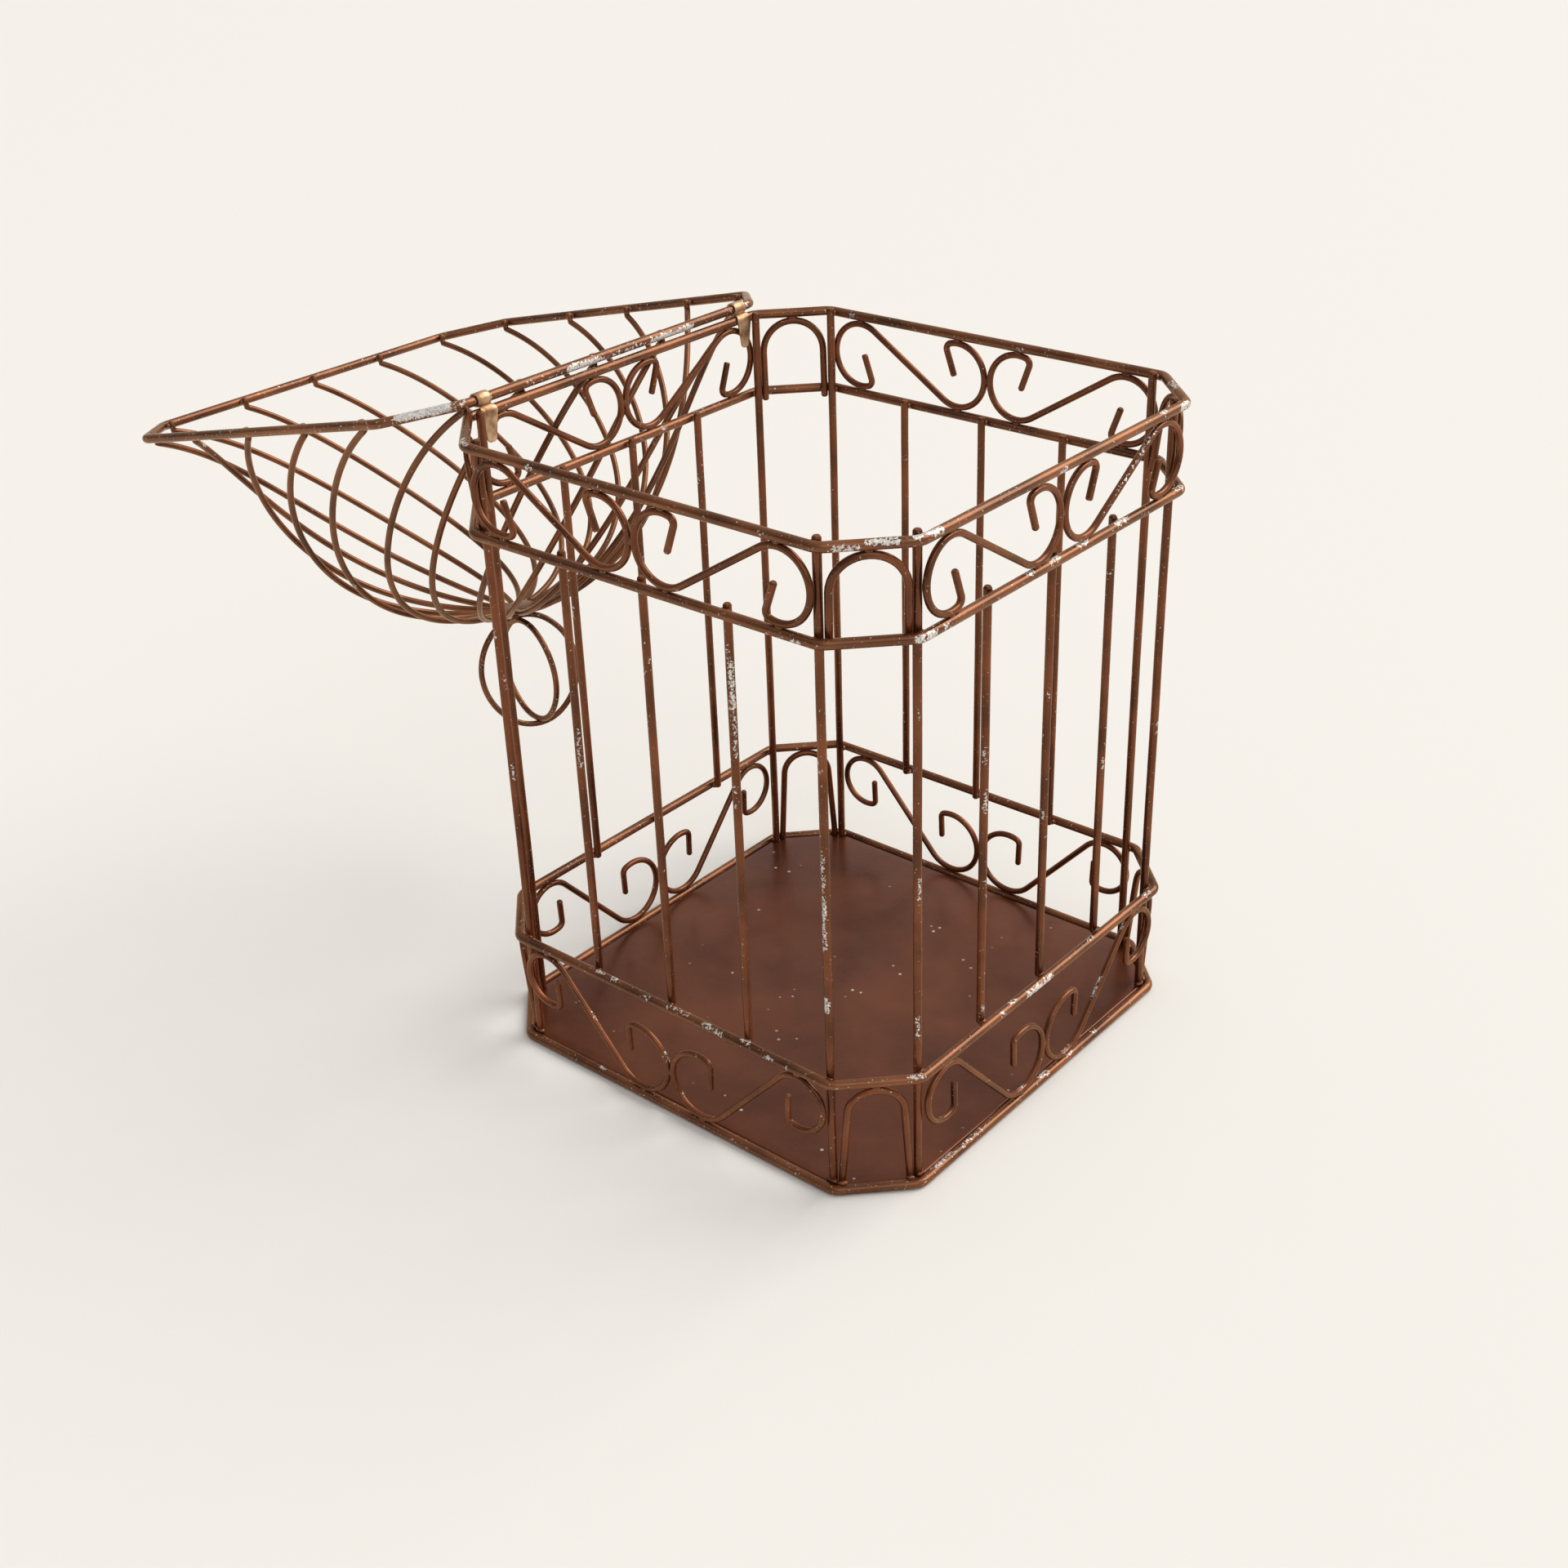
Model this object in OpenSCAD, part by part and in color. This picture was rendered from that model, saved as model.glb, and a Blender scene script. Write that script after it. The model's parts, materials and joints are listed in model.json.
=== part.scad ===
// Bird-cage style card box of welded round wire, with a hinged dome lid.
// Millimetres. The origin is the centre of the base on the surface it stands on.
// +Z is up, -Y is the front and the lid hinges on the +Y side. The lid is drawn open.

/* [Cage] */
// Width across the flat sides, between the ring wires' centres
cage_w = 164; // [150:1:190]
// Leg of each cut corner, measured along a side
corner_cut = 18.2; // [17:0.2:22]
// Height of the lower band ring's centre
lower_band_z = 39.5; // [37:0.5:46]
// Height of the upper band ring's centre
upper_band_z = 176.9; // [150:0.1:200]
// Clear height between the two upper rings' centres
upper_band_h = 26.2; // [25.4:0.2:30]

/* [Wire] */
// Diameter of the ring wire
ring_d = 3; // [2.6:0.1:3.4]
// Radius of the ring's corner bends, at the wire's centre
ring_bend_r = 5; // [4:0.25:6]
// Diameter of the eight corner posts
post_d = 2.6; // [1.8:0.1:2.8]
// Diameter of the straight bars
bar_d = 2.5; // [1.6:0.1:2.8]
// Diameter of the scroll wire
scroll_d = 2.1; // [1.4:0.1:2.3]
// Diameter of the corner arch wire
arch_d = 2.3; // [1.6:0.1:2.5]
// Diameter of the dome wires
dome_d = 2.1; // [1.8:0.1:2.4]
// Diameter of the finial wire
finial_d = 2.1; // [1.6:0.1:2.6]
// Space that the weld fills between two wires
weld_gap = 0.04; // [0.02:0.01:0.1]

/* [Base plate] */
// Thickness of the floor sheet
sheet_t = 0.8; // [0.6:0.1:1.2]
// Height of the floor's top above the surface it stands on
floor_top = 2.1; // [1.8:0.1:2.6]

/* [Posts and bars] */
// Distance from the end of a ring's bend to the post's centre
post_from_bend = 0.25; // [0.1:0.05:0.8]
// How far a post's tip stands above the top ring's centre
post_tip = 1.8; // [1.2:0.1:1.8]
// Spacing of the bars along a side
bar_pitch = 30.75; // [26:0.25:31]
// Number of bars on each side
bars_per_side = 3; // [1:2:3]
// How far a bar starts below the lower band ring's centre
bar_foot = 0.5; // [0:0.1:2]
// How far a bar ends above the upper band ring's centre
bar_tip = 2; // [0.5:0.1:3]

/* [Scrolls] */
// Space between the outermost turn of an upper scroll and the end of the ring's straight
upper_scroll_end = 0.3; // [0:0.1:2]
// Radius of the outer loop of a lower scroll
lower_outer_r = 9.2; // [8:0.1:9.6]
// Radius of the inner loop of a lower scroll
lower_inner_r = 11.3; // [10:0.1:11.6]
// Space between the outermost turn of a lower scroll and the end of the ring's straight
lower_scroll_end = 1.2; // [0:0.1:2]
// How far a loop runs on past its far end before the hook
hook_turn = 16; // [8:1:24]
// Radius of the hook's sharp bend
hook_r = 2; // [1.6:0.1:2.6]
// Length of the straight end of an upper scroll
upper_tail = 8.5; // [5:0.5:9.5]
// Lean of an upper scroll's straight ends from upright
upper_tail_angle = 20; // [8:1:26]
// Length of the straight end of a lower scroll
lower_tail = 8; // [5:0.5:9]
// Lean of a lower scroll's straight ends from upright
lower_tail_angle = 2; // [0:1:12]

/* [Corner arches] */
// Space between an arch's foot and the post beside it
arch_post_gap = 0.2; // [0.1:0.05:0.8]
// Radius of the top of a lower arch
lower_arch_r = 8.3; // [7:0.1:9]
// How far an upper arch's legs end below the upper band ring's centre
upper_arch_drop = 2.2; // [1:0.1:4]

/* [Hinge] */
// Height of the lid wire's centre above the top ring's centre
hinge_rise = 3.5; // [3.4:0.05:4]
// How far the lid wire's centre lies behind the top ring's centre
hinge_back = 1.63; // [1.3:0.01:1.9]
// Space between the lid wire and the clip that it turns in
hinge_clearance = 0.1; // [0.05:0.05:0.2]
// Thickness of the clip's sheet
clip_t = 0.6; // [0.4:0.1:0.6]
// Width of the clip along the hinge
clip_w = 6.5; // [4:0.5:6.5]
// Width of the clip's narrow waist
clip_waist_w = 3; // [2:0.5:4]
// Distance from the end of the top ring's straight to the clip's outer edge
clip_from_bend = 1.5; // [1.5:0.1:3]
// How far the clip's tail hangs below the top ring's centre
clip_tail = 9; // [6:0.5:12]
// How far the open lid dips below level
open_dip = 13.2; // [8:0.1:14]

/* [Dome] */
// Rise of the dome above the lid ring
dome_h = 87; // [70:1:95]
// Turn of a dome wire from its foot to the centre, in degrees
dome_twist_angle = 72; // [62:1:76]
// Share of the starting radius that the lower guide point keeps
low_guide_share = 0.89; // [0.86:0.005:0.92]
// Height of the lower guide point
low_guide_h = 23; // [18:0.5:24]
// Share of the starting radius that the upper guide point keeps
high_guide_share = 0.8; // [0.7:0.01:0.84]
// How far the upper guide point lies below the top of the dome
high_guide_drop = 2; // [0.5:0.1:6]
// Radius of the round shape that the dome takes near its top
dome_round_r = 82; // [78:0.5:83]
// How fast the corner wires draw in to the round shape
corner_pull = 4; // [3:0.25:6]
// How far a dome wire's foot starts below the lid ring's centre
foot_drop = 1.2; // [0.8:0.1:1.3]

/* [Crown and finial] */
// Radius of the crown boss that the dome wires end at
crown_r = 7.4; // [7.2:0.1:9]
// Thickness of the crown boss
crown_t = 2.6; // [2.2:0.1:3.4]
// Width of the finial's outer loop
finial_w = 36.5; // [32:0.5:40]
// Height of the finial's outer loop
finial_h = 44; // [40:0.5:50]
// Radius of the finial's top and bottom bends, at the outer loop's centre line
finial_end_r = 14; // [12:0.25:14.5]
// Direction of the outer loop about the dome's axis, in degrees from the hinge line
finial_angle = 33; // [0:1:90]
// Angle between the two loops
finial_cross_angle = 63; // [60:1:90]
// Lean of the finial from the dome's axis, away from the hinge
finial_lean_angle = 8; // [0:1:9]

/* [Hidden] */
$fn = 48;

// Where a straight and a bend of one wire meet, one of them is thinner by this step in radius
// and laps into the other by this length, so that the two join as one solid
joint_step = 0.02;
joint_lap = 0.12;

// Heights of the four rings, from the bottom up
bottom_z = ring_d / 2;
top_z = upper_band_z + upper_band_h;

// The ring's outline: flats, straights and bends
half_w = cage_w / 2;
bend_take = ring_bend_r * tan(22.5);
side_half = half_w - corner_cut - bend_take;
chamfer_half = corner_cut / sqrt(2) - bend_take;
chamfer_dist = (cage_w - corner_cut) / sqrt(2);

// How far inside a ring's centre line each welded wire lies
post_in = (ring_d + post_d) / 2 + weld_gap;
bar_in = (ring_d + bar_d) / 2 + weld_gap;
arch_in = (ring_d + arch_d) / 2 + weld_gap;
foot_in = (ring_d + dome_d) / 2 + weld_gap;
scroll_off = (ring_d + scroll_d) / 2 + weld_gap;
post_s = side_half - post_from_bend;

// An arch's feet stand beside the posts. A post's place is taken along and across the cut
// corner, from the middle of the ring wire there.
post_along = (half_w - post_in - post_s) / sqrt(2);
post_across = chamfer_dist - (half_w - post_in + post_s) / sqrt(2);
foot_space = (post_d + arch_d) / 2 + arch_post_gap;
arch_foot = post_along - sqrt(pow(foot_space, 2) - pow(post_across - arch_in, 2));

// A lower arch's legs lean, so their square ends stay this much higher off the floor
arch_tilt_room = arch_d / 10;

// Cuts run this far past the faces that they open
overcut = 1;

// The floor's outline lies just inside the bottom ring
plate_in = ring_d / 2 + weld_gap;
seat_gap = 0.05;

// Scroll loops: [centre along the side, centre height, radius]
twin_half = scroll_d / 2 + weld_gap / 2;
upper_loop_r = (upper_band_h - 2 * scroll_off) / 2;
upper_outer = [side_half - upper_scroll_end - upper_loop_r, (upper_band_z + top_z) / 2, upper_loop_r];
upper_inner = [twin_half + upper_loop_r, (upper_band_z + top_z) / 2, upper_loop_r];
lower_outer = [side_half - lower_scroll_end - lower_outer_r,
    lower_band_z - scroll_off - lower_outer_r, lower_outer_r];
lower_inner = [twin_half + lower_inner_r, bottom_z + scroll_off + lower_inner_r, lower_inner_r];

// The hinge axis runs along X through the lid ring's rear wire
hinge_y = half_w + hinge_back;
hinge_z = top_z + hinge_rise;
clip_s = side_half - clip_from_bend - clip_w / 2;
clip_bore_r = ring_d / 2 + hinge_clearance;
saddle_r = ring_d / 2 + weld_gap;
clip_tail_in = saddle_r + clip_t;
clip_notch = 2 * clip_t;
clip_waist_y = half_w + hinge_back / 2;
clip_waist_z = top_z + hinge_rise / 2;
open_turn = 180 + open_dip;

// Dome wires: rings of points along the path and points around the wire
dome_rings = 22;
dome_sides = 8;
foot_steps = 2;
foot_rise = 0.8;
foot_len = foot_drop + foot_rise;
path_rise = 2.2;
// The rings of points lie closer together near the foot, where the path bends most
ring_crowding = 1.15;
// A wire runs this share of its diameter short of the boss's rim
crown_touch = 0.05;
halvings = 24;
high_guide_h = dome_h - high_guide_drop;

// Feet stand along each side of the lid ring, placed by eye. How far the first foot and the
// middle feet of the front, right, back and left sides stand past even spacing.
wires_per_side = 5;
first_foot_shift = [0, 0, 0, 9];
middle_foot_shift = [0, 6.5, 8, 8];
foot_reach = half_w - corner_cut;
foot_pitch = 2 * foot_reach / (wires_per_side - 1);
foot_pull = 1 - foot_in / half_w;

// The wires end evenly spaced around the crown
crown_pitch_angle = 90 / wires_per_side;

// The boss caps the ends of the wires, its middle just below their centres
crown_sink = 0.4;
crown_z = dome_h - crown_sink;

// Finial loops: ovals of four arcs, the inner one nested in the outer one
finial_half_w = (finial_w - finial_d) / 2;
finial_half_h = (finial_h - finial_d) / 2;
finial_end_c = finial_half_h - finial_end_r;
finial_side_r = (pow(finial_end_c, 2) + pow(finial_half_w, 2) - pow(finial_end_r, 2))
    / (2 * (finial_half_w - finial_end_r));
finial_side_c = finial_side_r - finial_half_w;
finial_split = atan2(finial_end_c, finial_side_c);
finial_nest = finial_d + weld_gap;
finial_roll_z = crown_z + crown_t / 2 + weld_gap + finial_d / 2 + finial_end_r;

PAINT = "#7a3f26";
FLOOR = "#6d4234";
BRASS = "#b08a4e";

// ---- Placing ----

// Turns a piece drawn on the front side to side k: 0 front, 1 right, 2 back, 3 left
module on_side(k) {
    rotate([0, 0, 90 * k]) children();
}

// Moves a piece drawn for the closed lid, whose ring centre is the origin, to the open lid
module on_open_lid() {
    translate([0, hinge_y, hinge_z])
        rotate([-open_turn, 0, 0])
            translate([0, -half_w, 0])
                children();
}

// ---- Round wire ----

// Straight wire between two points
module wire(from, to, d) {
    run = to - from;
    len = norm(run);
    translate(from)
        rotate([0, acos(run[2] / len), atan2(run[1], run[0])])
            cylinder(d = d, h = len);
}

// Bent wire in the XY plane around the origin, from one angle to a larger one
module bend(r, from_angle, to_angle, d) {
    rotate([0, 0, from_angle])
        rotate_extrude(angle = to_angle - from_angle)
            translate([r, 0])
                circle(d = d);
}

// Straight wire that laps into the bends at both of its ends
module link_wire(from, to, d) {
    lap = joint_lap * unit(to - from);
    wire(from - lap, to + lap, d - 2 * joint_step);
}

// Bend that laps into the straights at both of its ends
module link_bend(r, from_angle, to_angle, d) {
    lap = joint_lap / r * 180 / PI;
    bend(r, from_angle - lap, to_angle + lap, d - 2 * joint_step);
}

// Closed eight-sided ring of one wire, centred on the origin
module wire_ring(d) {
    for (k = [0 : 3])
        on_side(k) {
            wire([-side_half, -half_w, 0], [side_half, -half_w, 0], d);
            translate([side_half, -half_w + ring_bend_r, 0])
                link_bend(ring_bend_r, -90, -45, d);
            rotate([0, 0, 45])
                wire([-chamfer_half, -chamfer_dist, 0], [chamfer_half, -chamfer_dist, 0], d);
            translate([half_w - ring_bend_r, -side_half, 0])
                link_bend(ring_bend_r, -45, 0, d);
        }
}

// ---- Base plate ----

// Eight-sided outline with rounded corners, a set distance inside the ring's centre line
module octagon_outline(inset) {
    polygon([for (k = [0 : 3]) each [
        turned([-side_half, -half_w + inset], 90 * k),
        turned([side_half, -half_w + inset], 90 * k),
        turned([-chamfer_half, -chamfer_dist + inset], 90 * k + 45),
        turned([chamfer_half, -chamfer_dist + inset], 90 * k + 45)
    ]]);
    for (k = [0 : 3], s = [-1, 1])
        translate(turned([s * side_half, -half_w + ring_bend_r], 90 * k))
            circle(r = ring_bend_r - inset);
}

function turned(p, a) = [p[0] * cos(a) - p[1] * sin(a), p[0] * sin(a) + p[1] * cos(a)];

module base_plate() {
    color(FLOOR)
        difference() {
            linear_extrude(height = floor_top)
                octagon_outline(plate_in);
            translate([0, 0, -overcut])
                linear_extrude(height = floor_top - sheet_t + overcut)
                    octagon_outline(plate_in + sheet_t);
        }
}

// ---- Rings, posts and bars ----

module cage_ring(z) {
    color(PAINT)
        translate([0, 0, z])
            wire_ring(ring_d);
}

// Post near one end of side k; end is -1 or 1 along that side
module post(k, end) {
    color(PAINT)
        on_side(k)
            translate([end * post_s, -half_w + post_in, floor_top + seat_gap])
                cylinder(d = post_d, h = top_z + post_tip - floor_top - seat_gap);
}

module bars(k) {
    first = -(bars_per_side - 1) / 2;
    color(PAINT)
        on_side(k)
            for (i = [0 : bars_per_side - 1])
                translate([(first + i) * bar_pitch, -half_w + bar_in, lower_band_z - bar_foot])
                    cylinder(d = bar_d, h = upper_band_z + bar_tip - lower_band_z + bar_foot);
}

// ---- Scrolls ----

// Angle of the line that joins two loops, crossing from the outer side of one to the other
function cross_angle(a, b) =
    let (run = [b[0] - a[0], b[1] - a[1]])
    atan2(run[1], run[0]) + acos((a[2] + b[2]) / norm(run));

function rim(loop, angle) = [loop[0] + loop[2] * cos(angle), loop[1] + loop[2] * sin(angle)];

// A loop that ends in a sharp hook and a straight tail. It starts at from_angle, turns
// counter-clockwise to to_angle, and the tail then points along tail_angle.
module hooked_loop(loop, from_angle, to_angle, tail_angle, tail) {
    translate([loop[0], loop[1], 0])
        bend(loop[2], from_angle, to_angle, scroll_d);
    hook = [loop[0] + (loop[2] - hook_r) * cos(to_angle), loop[1] + (loop[2] - hook_r) * sin(to_angle)];
    translate([hook[0], hook[1], 0])
        link_bend(hook_r, to_angle, tail_angle - 90, scroll_d);
    tip = [hook[0] + hook_r * sin(tail_angle), hook[1] - hook_r * cos(tail_angle)];
    wire([tip[0], tip[1], 0], [tip[0] + tail * cos(tail_angle), tip[1] + tail * sin(tail_angle), 0],
        scroll_d);
}

// One S-shaped scroll drawn flat, its outer loop on the left
module scroll(outer, inner, tail, lean) {
    left = [-outer[0], outer[1], outer[2]];
    right = [-inner[0], inner[1], inner[2]];
    a = cross_angle(left, right);
    start = rim(left, a);
    stop = rim(right, a + 180);
    hooked_loop(left, a, 270 + hook_turn, 450 + lean, tail);
    link_wire([start[0], start[1], 0], [stop[0], stop[1], 0], scroll_d);
    hooked_loop(right, a + 180, 450 + hook_turn, 630 + lean, tail);
}

// The mirrored pair of scrolls of side k, standing in the plane of the rings
module scroll_pair(k, outer, inner, tail, lean) {
    color(PAINT)
        on_side(k)
            translate([0, -half_w, 0])
                rotate([90, 0, 0])
                    for (m = [0, 1])
                        mirror([m, 0, 0])
                            scroll(outer, inner, tail, lean);
}

module upper_scrolls(k) {
    scroll_pair(k, upper_outer, upper_inner, upper_tail, upper_tail_angle);
}

module lower_scrolls(k) {
    scroll_pair(k, lower_outer, lower_inner, lower_tail, lower_tail_angle);
}

// ---- Corner arches ----

// Arch of radius r in the XZ plane with its crown at the origin. Each leg spreads to foot_half
// at depth below the crown.
module arch(r, foot_half, depth) {
    reach = [foot_half, depth - r];
    splay = acos(r / norm(reach)) - atan2(reach[1], reach[0]);
    translate([0, 0, -r])
        rotate([90, 0, 0])
            link_bend(r, splay, 180 - splay, arch_d);
    for (s = [-1, 1])
        wire([s * r * cos(splay), 0, -r + r * sin(splay)], [s * foot_half, 0, -depth], arch_d);
}

// Hangs an arch under a ring on corner k and leans it so that its legs pass inside the ring below
module corner_arch(k, r, foot_half, crown_ring_z, foot_ring_z, foot_z) {
    hang_z = crown_ring_z - arch_in;
    lean = asin(arch_in / (hang_z - foot_ring_z));
    color(PAINT)
        rotate([0, 0, 90 * k + 45])
            translate([0, -chamfer_dist, hang_z])
                rotate([lean, 0, 0])
                    arch(r, foot_half, (hang_z - foot_z) / cos(lean));
}

module upper_arch(k) {
    corner_arch(k, arch_foot, arch_foot, top_z, upper_band_z, upper_band_z - upper_arch_drop);
}

module lower_arch(k) {
    corner_arch(k, lower_arch_r, arch_foot, lower_band_z, bottom_z,
        floor_top + seat_gap + arch_tilt_room);
}

// ---- Hinge clips ----

// Sheet clip: a loop that the lid wire turns in, a waist, a saddle over the top ring and a tail
module hinge_clip(side) {
    color(BRASS)
        translate([side * clip_s, 0, 0])
            rotate([90, 0, 90])
                difference() {
                    union() {
                        translate([hinge_y, hinge_z, 0])
                            cylinder(r = clip_bore_r + clip_t, h = clip_w, center = true);
                        translate([half_w, top_z, 0])
                            cylinder(r = clip_tail_in, h = clip_w, center = true);
                        translate([half_w - clip_tail_in, top_z - clip_tail, -clip_w / 2])
                            cube([clip_t, clip_tail, clip_w]);
                    }
                    translate([hinge_y, hinge_z, 0])
                        cylinder(r = clip_bore_r, h = clip_w + 2 * overcut, center = true);
                    translate([half_w, top_z, 0])
                        cylinder(r = saddle_r, h = clip_w + 2 * overcut, center = true);
                    translate([half_w - saddle_r, top_z - clip_tail - overcut, -clip_w / 2 - overcut])
                        cube([2 * clip_tail_in, clip_tail + overcut, clip_w + 2 * overcut]);
                    for (s = [-1, 1])
                        translate([clip_waist_y, clip_waist_z, s * (clip_w + clip_waist_w) / 2])
                            rotate([0, 0, atan2(hinge_rise, hinge_back)])
                                cube([clip_notch, 3 * clip_notch, clip_w], center = true);
                }
}

// ---- Lid ----

module lid_ring() {
    color(PAINT)
        on_open_lid()
            wire_ring(ring_d);
}

// Place along side k of foot i, from the side's middle. Foot 0 is at the side's left bend.
function foot_s(k, i) =
    let (shift = i == 0 ? first_foot_shift[k] : i == wires_per_side - 1 ? 0 : middle_foot_shift[k])
    -foot_reach + i * foot_pitch + shift;

// Foot i of side k on the closed lid ring, just inside the wire
function foot_point(k, i) = turned([foot_s(k, i) * foot_pull, -half_w * foot_pull], 90 * k);

// Directions about the dome's axis of the foot and of the crown end of wire i of side k
function foot_angle(k, i) = 90 * (k - 1) + atan2(foot_s(k, i), half_w);
function crown_angle(k, i) =
    90 * (k - 1) + (i - (wires_per_side - 1) / 2) * crown_pitch_angle + dome_twist_angle;

// Shares of the four guide points at t along a wire
function ease(t) = [pow(1 - t, 3), 3 * t * pow(1 - t, 2), 3 * pow(t, 2) * (1 - t), pow(t, 3)];

function path_radius(r0, t) =
    let (w = ease(t))
    let (own = pow(1 - t, corner_pull))
    (r0 * own + dome_round_r * (1 - own)) * (w[0] + low_guide_share * w[1] + high_guide_share * w[2]);

function path_height(t) =
    let (w = ease(t))
    path_rise * w[0] + low_guide_h * w[1] + high_guide_h * w[2] + dome_h * w[3];

// The share of the path at which a wire meets the crown boss, found by halving
function crown_share(r0, low = 0.8, high = 1, n = halvings) =
    n == 0 ? low
    : let (mid = (low + high) / 2)
      path_radius(r0, mid) > crown_r + dome_d * crown_touch
        ? crown_share(r0, mid, high, n - 1)
        : crown_share(r0, low, mid, n - 1);

// Points of wire i of side k: a short upright foot, then the swirling path to the crown
function dome_path(k, i) =
    let (foot = foot_point(k, i))
    let (r0 = norm(foot))
    let (start = foot_angle(k, i))
    let (turn = crown_angle(k, i) - start)
    let (end = crown_share(r0))
    concat(
        [for (j = [0 : foot_steps - 1]) [foot[0], foot[1], -foot_drop + foot_len * j / foot_steps]],
        [for (j = [0 : dome_rings - 1])
            let (t = end * pow(j / (dome_rings - 1), ring_crowding))
            let (r = path_radius(r0, t))
            [r * cos(start + turn * t), r * sin(start + turn * t), path_height(t)]]
    );

function unit(v) = v / norm(v);

// Direction of a path at its point i
function heading(path, i) =
    i == 0 ? unit(path[1] - path[0])
    : i == len(path) - 1 ? unit(path[i] - path[i - 1])
    : unit(unit(path[i + 1] - path[i]) + unit(path[i] - path[i - 1]));

// Round tube along a path. Each ring of points is squared to the path's heading and to a side
// direction that stays level and points away from the dome's axis.
module tube(path, d) {
    rings = [for (i = [0 : len(path) - 1])
        let (h = heading(path, i))
        let (out = unit([path[i][0], path[i][1], 0]))
        let (u = unit(cross(h, cross([-out[1], out[0], 0], h))))
        let (v = cross(h, u))
        [for (j = [0 : dome_sides - 1])
            let (a = 360 * (j + 0.5) / dome_sides)
            path[i] + (u * cos(a) + v * sin(a)) * d / 2]];
    last = len(path) - 1;
    polyhedron(
        points = [for (ring = rings) each ring],
        faces = concat(
            [[for (j = [0 : dome_sides - 1]) j]],
            [[for (j = [dome_sides - 1 : -1 : 0]) last * dome_sides + j]],
            [for (i = [0 : last - 1], j = [0 : dome_sides - 1])
                let (a = i * dome_sides + j)
                let (b = i * dome_sides + (j + 1) % dome_sides)
                each [[a, a + dome_sides, b], [b, a + dome_sides, b + dome_sides]]]
        )
    );
}

// Dome wire i of side k of the closed lid, counted from the side's left bend
module dome_wire(k, i) {
    color(PAINT)
        on_open_lid()
            tube(dome_path(k, i), dome_d);
}

module crown_boss() {
    color(PAINT)
        on_open_lid()
            translate([0, 0, crown_z])
                cylinder(r = crown_r, h = crown_t, center = true);
}

// Upright oval wire around the origin, set in from the outer loop
module oval(inset) {
    for (half_turn = [0, 180])
        rotate([0, 0, half_turn]) {
            translate([0, finial_end_c, 0])
                bend(finial_end_r - inset, finial_split, 180 - finial_split, finial_d);
            translate([-finial_side_c, 0, 0])
                link_bend(finial_side_r - inset, -finial_split, finial_split, finial_d);
        }
}

// Finial loop turned about the finial's own axis, which leans as if its round bottom had
// rolled on the crown
module finial_loop(inset, angle) {
    color(PAINT)
        on_open_lid()
            translate([0, 0, finial_roll_z])
                rotate([finial_lean_angle, 0, 0])
                    translate([0, 0, finial_end_c])
                        rotate([90, 0, angle])
                            oval(inset);
}

module finial_loop_outer() {
    finial_loop(0, finial_angle);
}

module finial_loop_inner() {
    finial_loop(finial_nest, finial_angle + finial_cross_angle);
}

base_plate();
cage_ring(bottom_z);  // bottom_ring
cage_ring(lower_band_z);  // lower_band_ring
cage_ring(upper_band_z);  // upper_band_ring
cage_ring(top_z);  // top_ring
post(0, -1);  // post_front_left
post(0, 1);  // post_front_right
post(1, -1);  // post_right_front
post(1, 1);  // post_right_back
post(2, -1);  // post_back_right
post(2, 1);  // post_back_left
post(3, -1);  // post_left_back
post(3, 1);  // post_left_front
bars(0);  // bars_front
bars(1);  // bars_right
bars(2);  // bars_back
bars(3);  // bars_left
upper_scrolls(0);  // upper_scrolls_front
upper_scrolls(1);  // upper_scrolls_right
upper_scrolls(2);  // upper_scrolls_back
upper_scrolls(3);  // upper_scrolls_left
lower_scrolls(0);  // lower_scrolls_front
lower_scrolls(1);  // lower_scrolls_right
lower_scrolls(2);  // lower_scrolls_back
lower_scrolls(3);  // lower_scrolls_left
upper_arch(0);  // upper_arch_front_right
upper_arch(1);  // upper_arch_back_right
upper_arch(2);  // upper_arch_back_left
upper_arch(3);  // upper_arch_front_left
lower_arch(0);  // lower_arch_front_right
lower_arch(1);  // lower_arch_back_right
lower_arch(2);  // lower_arch_back_left
lower_arch(3);  // lower_arch_front_left
hinge_clip(-1);  // hinge_clip_left
hinge_clip(1);  // hinge_clip_right
lid_ring();
dome_wire(0, 0);  // dome_wire_front_1
dome_wire(0, 1);  // dome_wire_front_2
dome_wire(0, 2);  // dome_wire_front_3
dome_wire(0, 3);  // dome_wire_front_4
dome_wire(0, 4);  // dome_wire_front_5
dome_wire(1, 0);  // dome_wire_right_1
dome_wire(1, 1);  // dome_wire_right_2
dome_wire(1, 2);  // dome_wire_right_3
dome_wire(1, 3);  // dome_wire_right_4
dome_wire(1, 4);  // dome_wire_right_5
dome_wire(2, 0);  // dome_wire_back_1
dome_wire(2, 1);  // dome_wire_back_2
dome_wire(2, 2);  // dome_wire_back_3
dome_wire(2, 3);  // dome_wire_back_4
dome_wire(2, 4);  // dome_wire_back_5
dome_wire(3, 0);  // dome_wire_left_1
dome_wire(3, 1);  // dome_wire_left_2
dome_wire(3, 2);  // dome_wire_left_3
dome_wire(3, 3);  // dome_wire_left_4
dome_wire(3, 4);  // dome_wire_left_5
crown_boss();
finial_loop_outer();
finial_loop_inner();
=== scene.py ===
import json
import math
import random

import bmesh
import bpy
from mathutils import Matrix, Vector, noise


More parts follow.
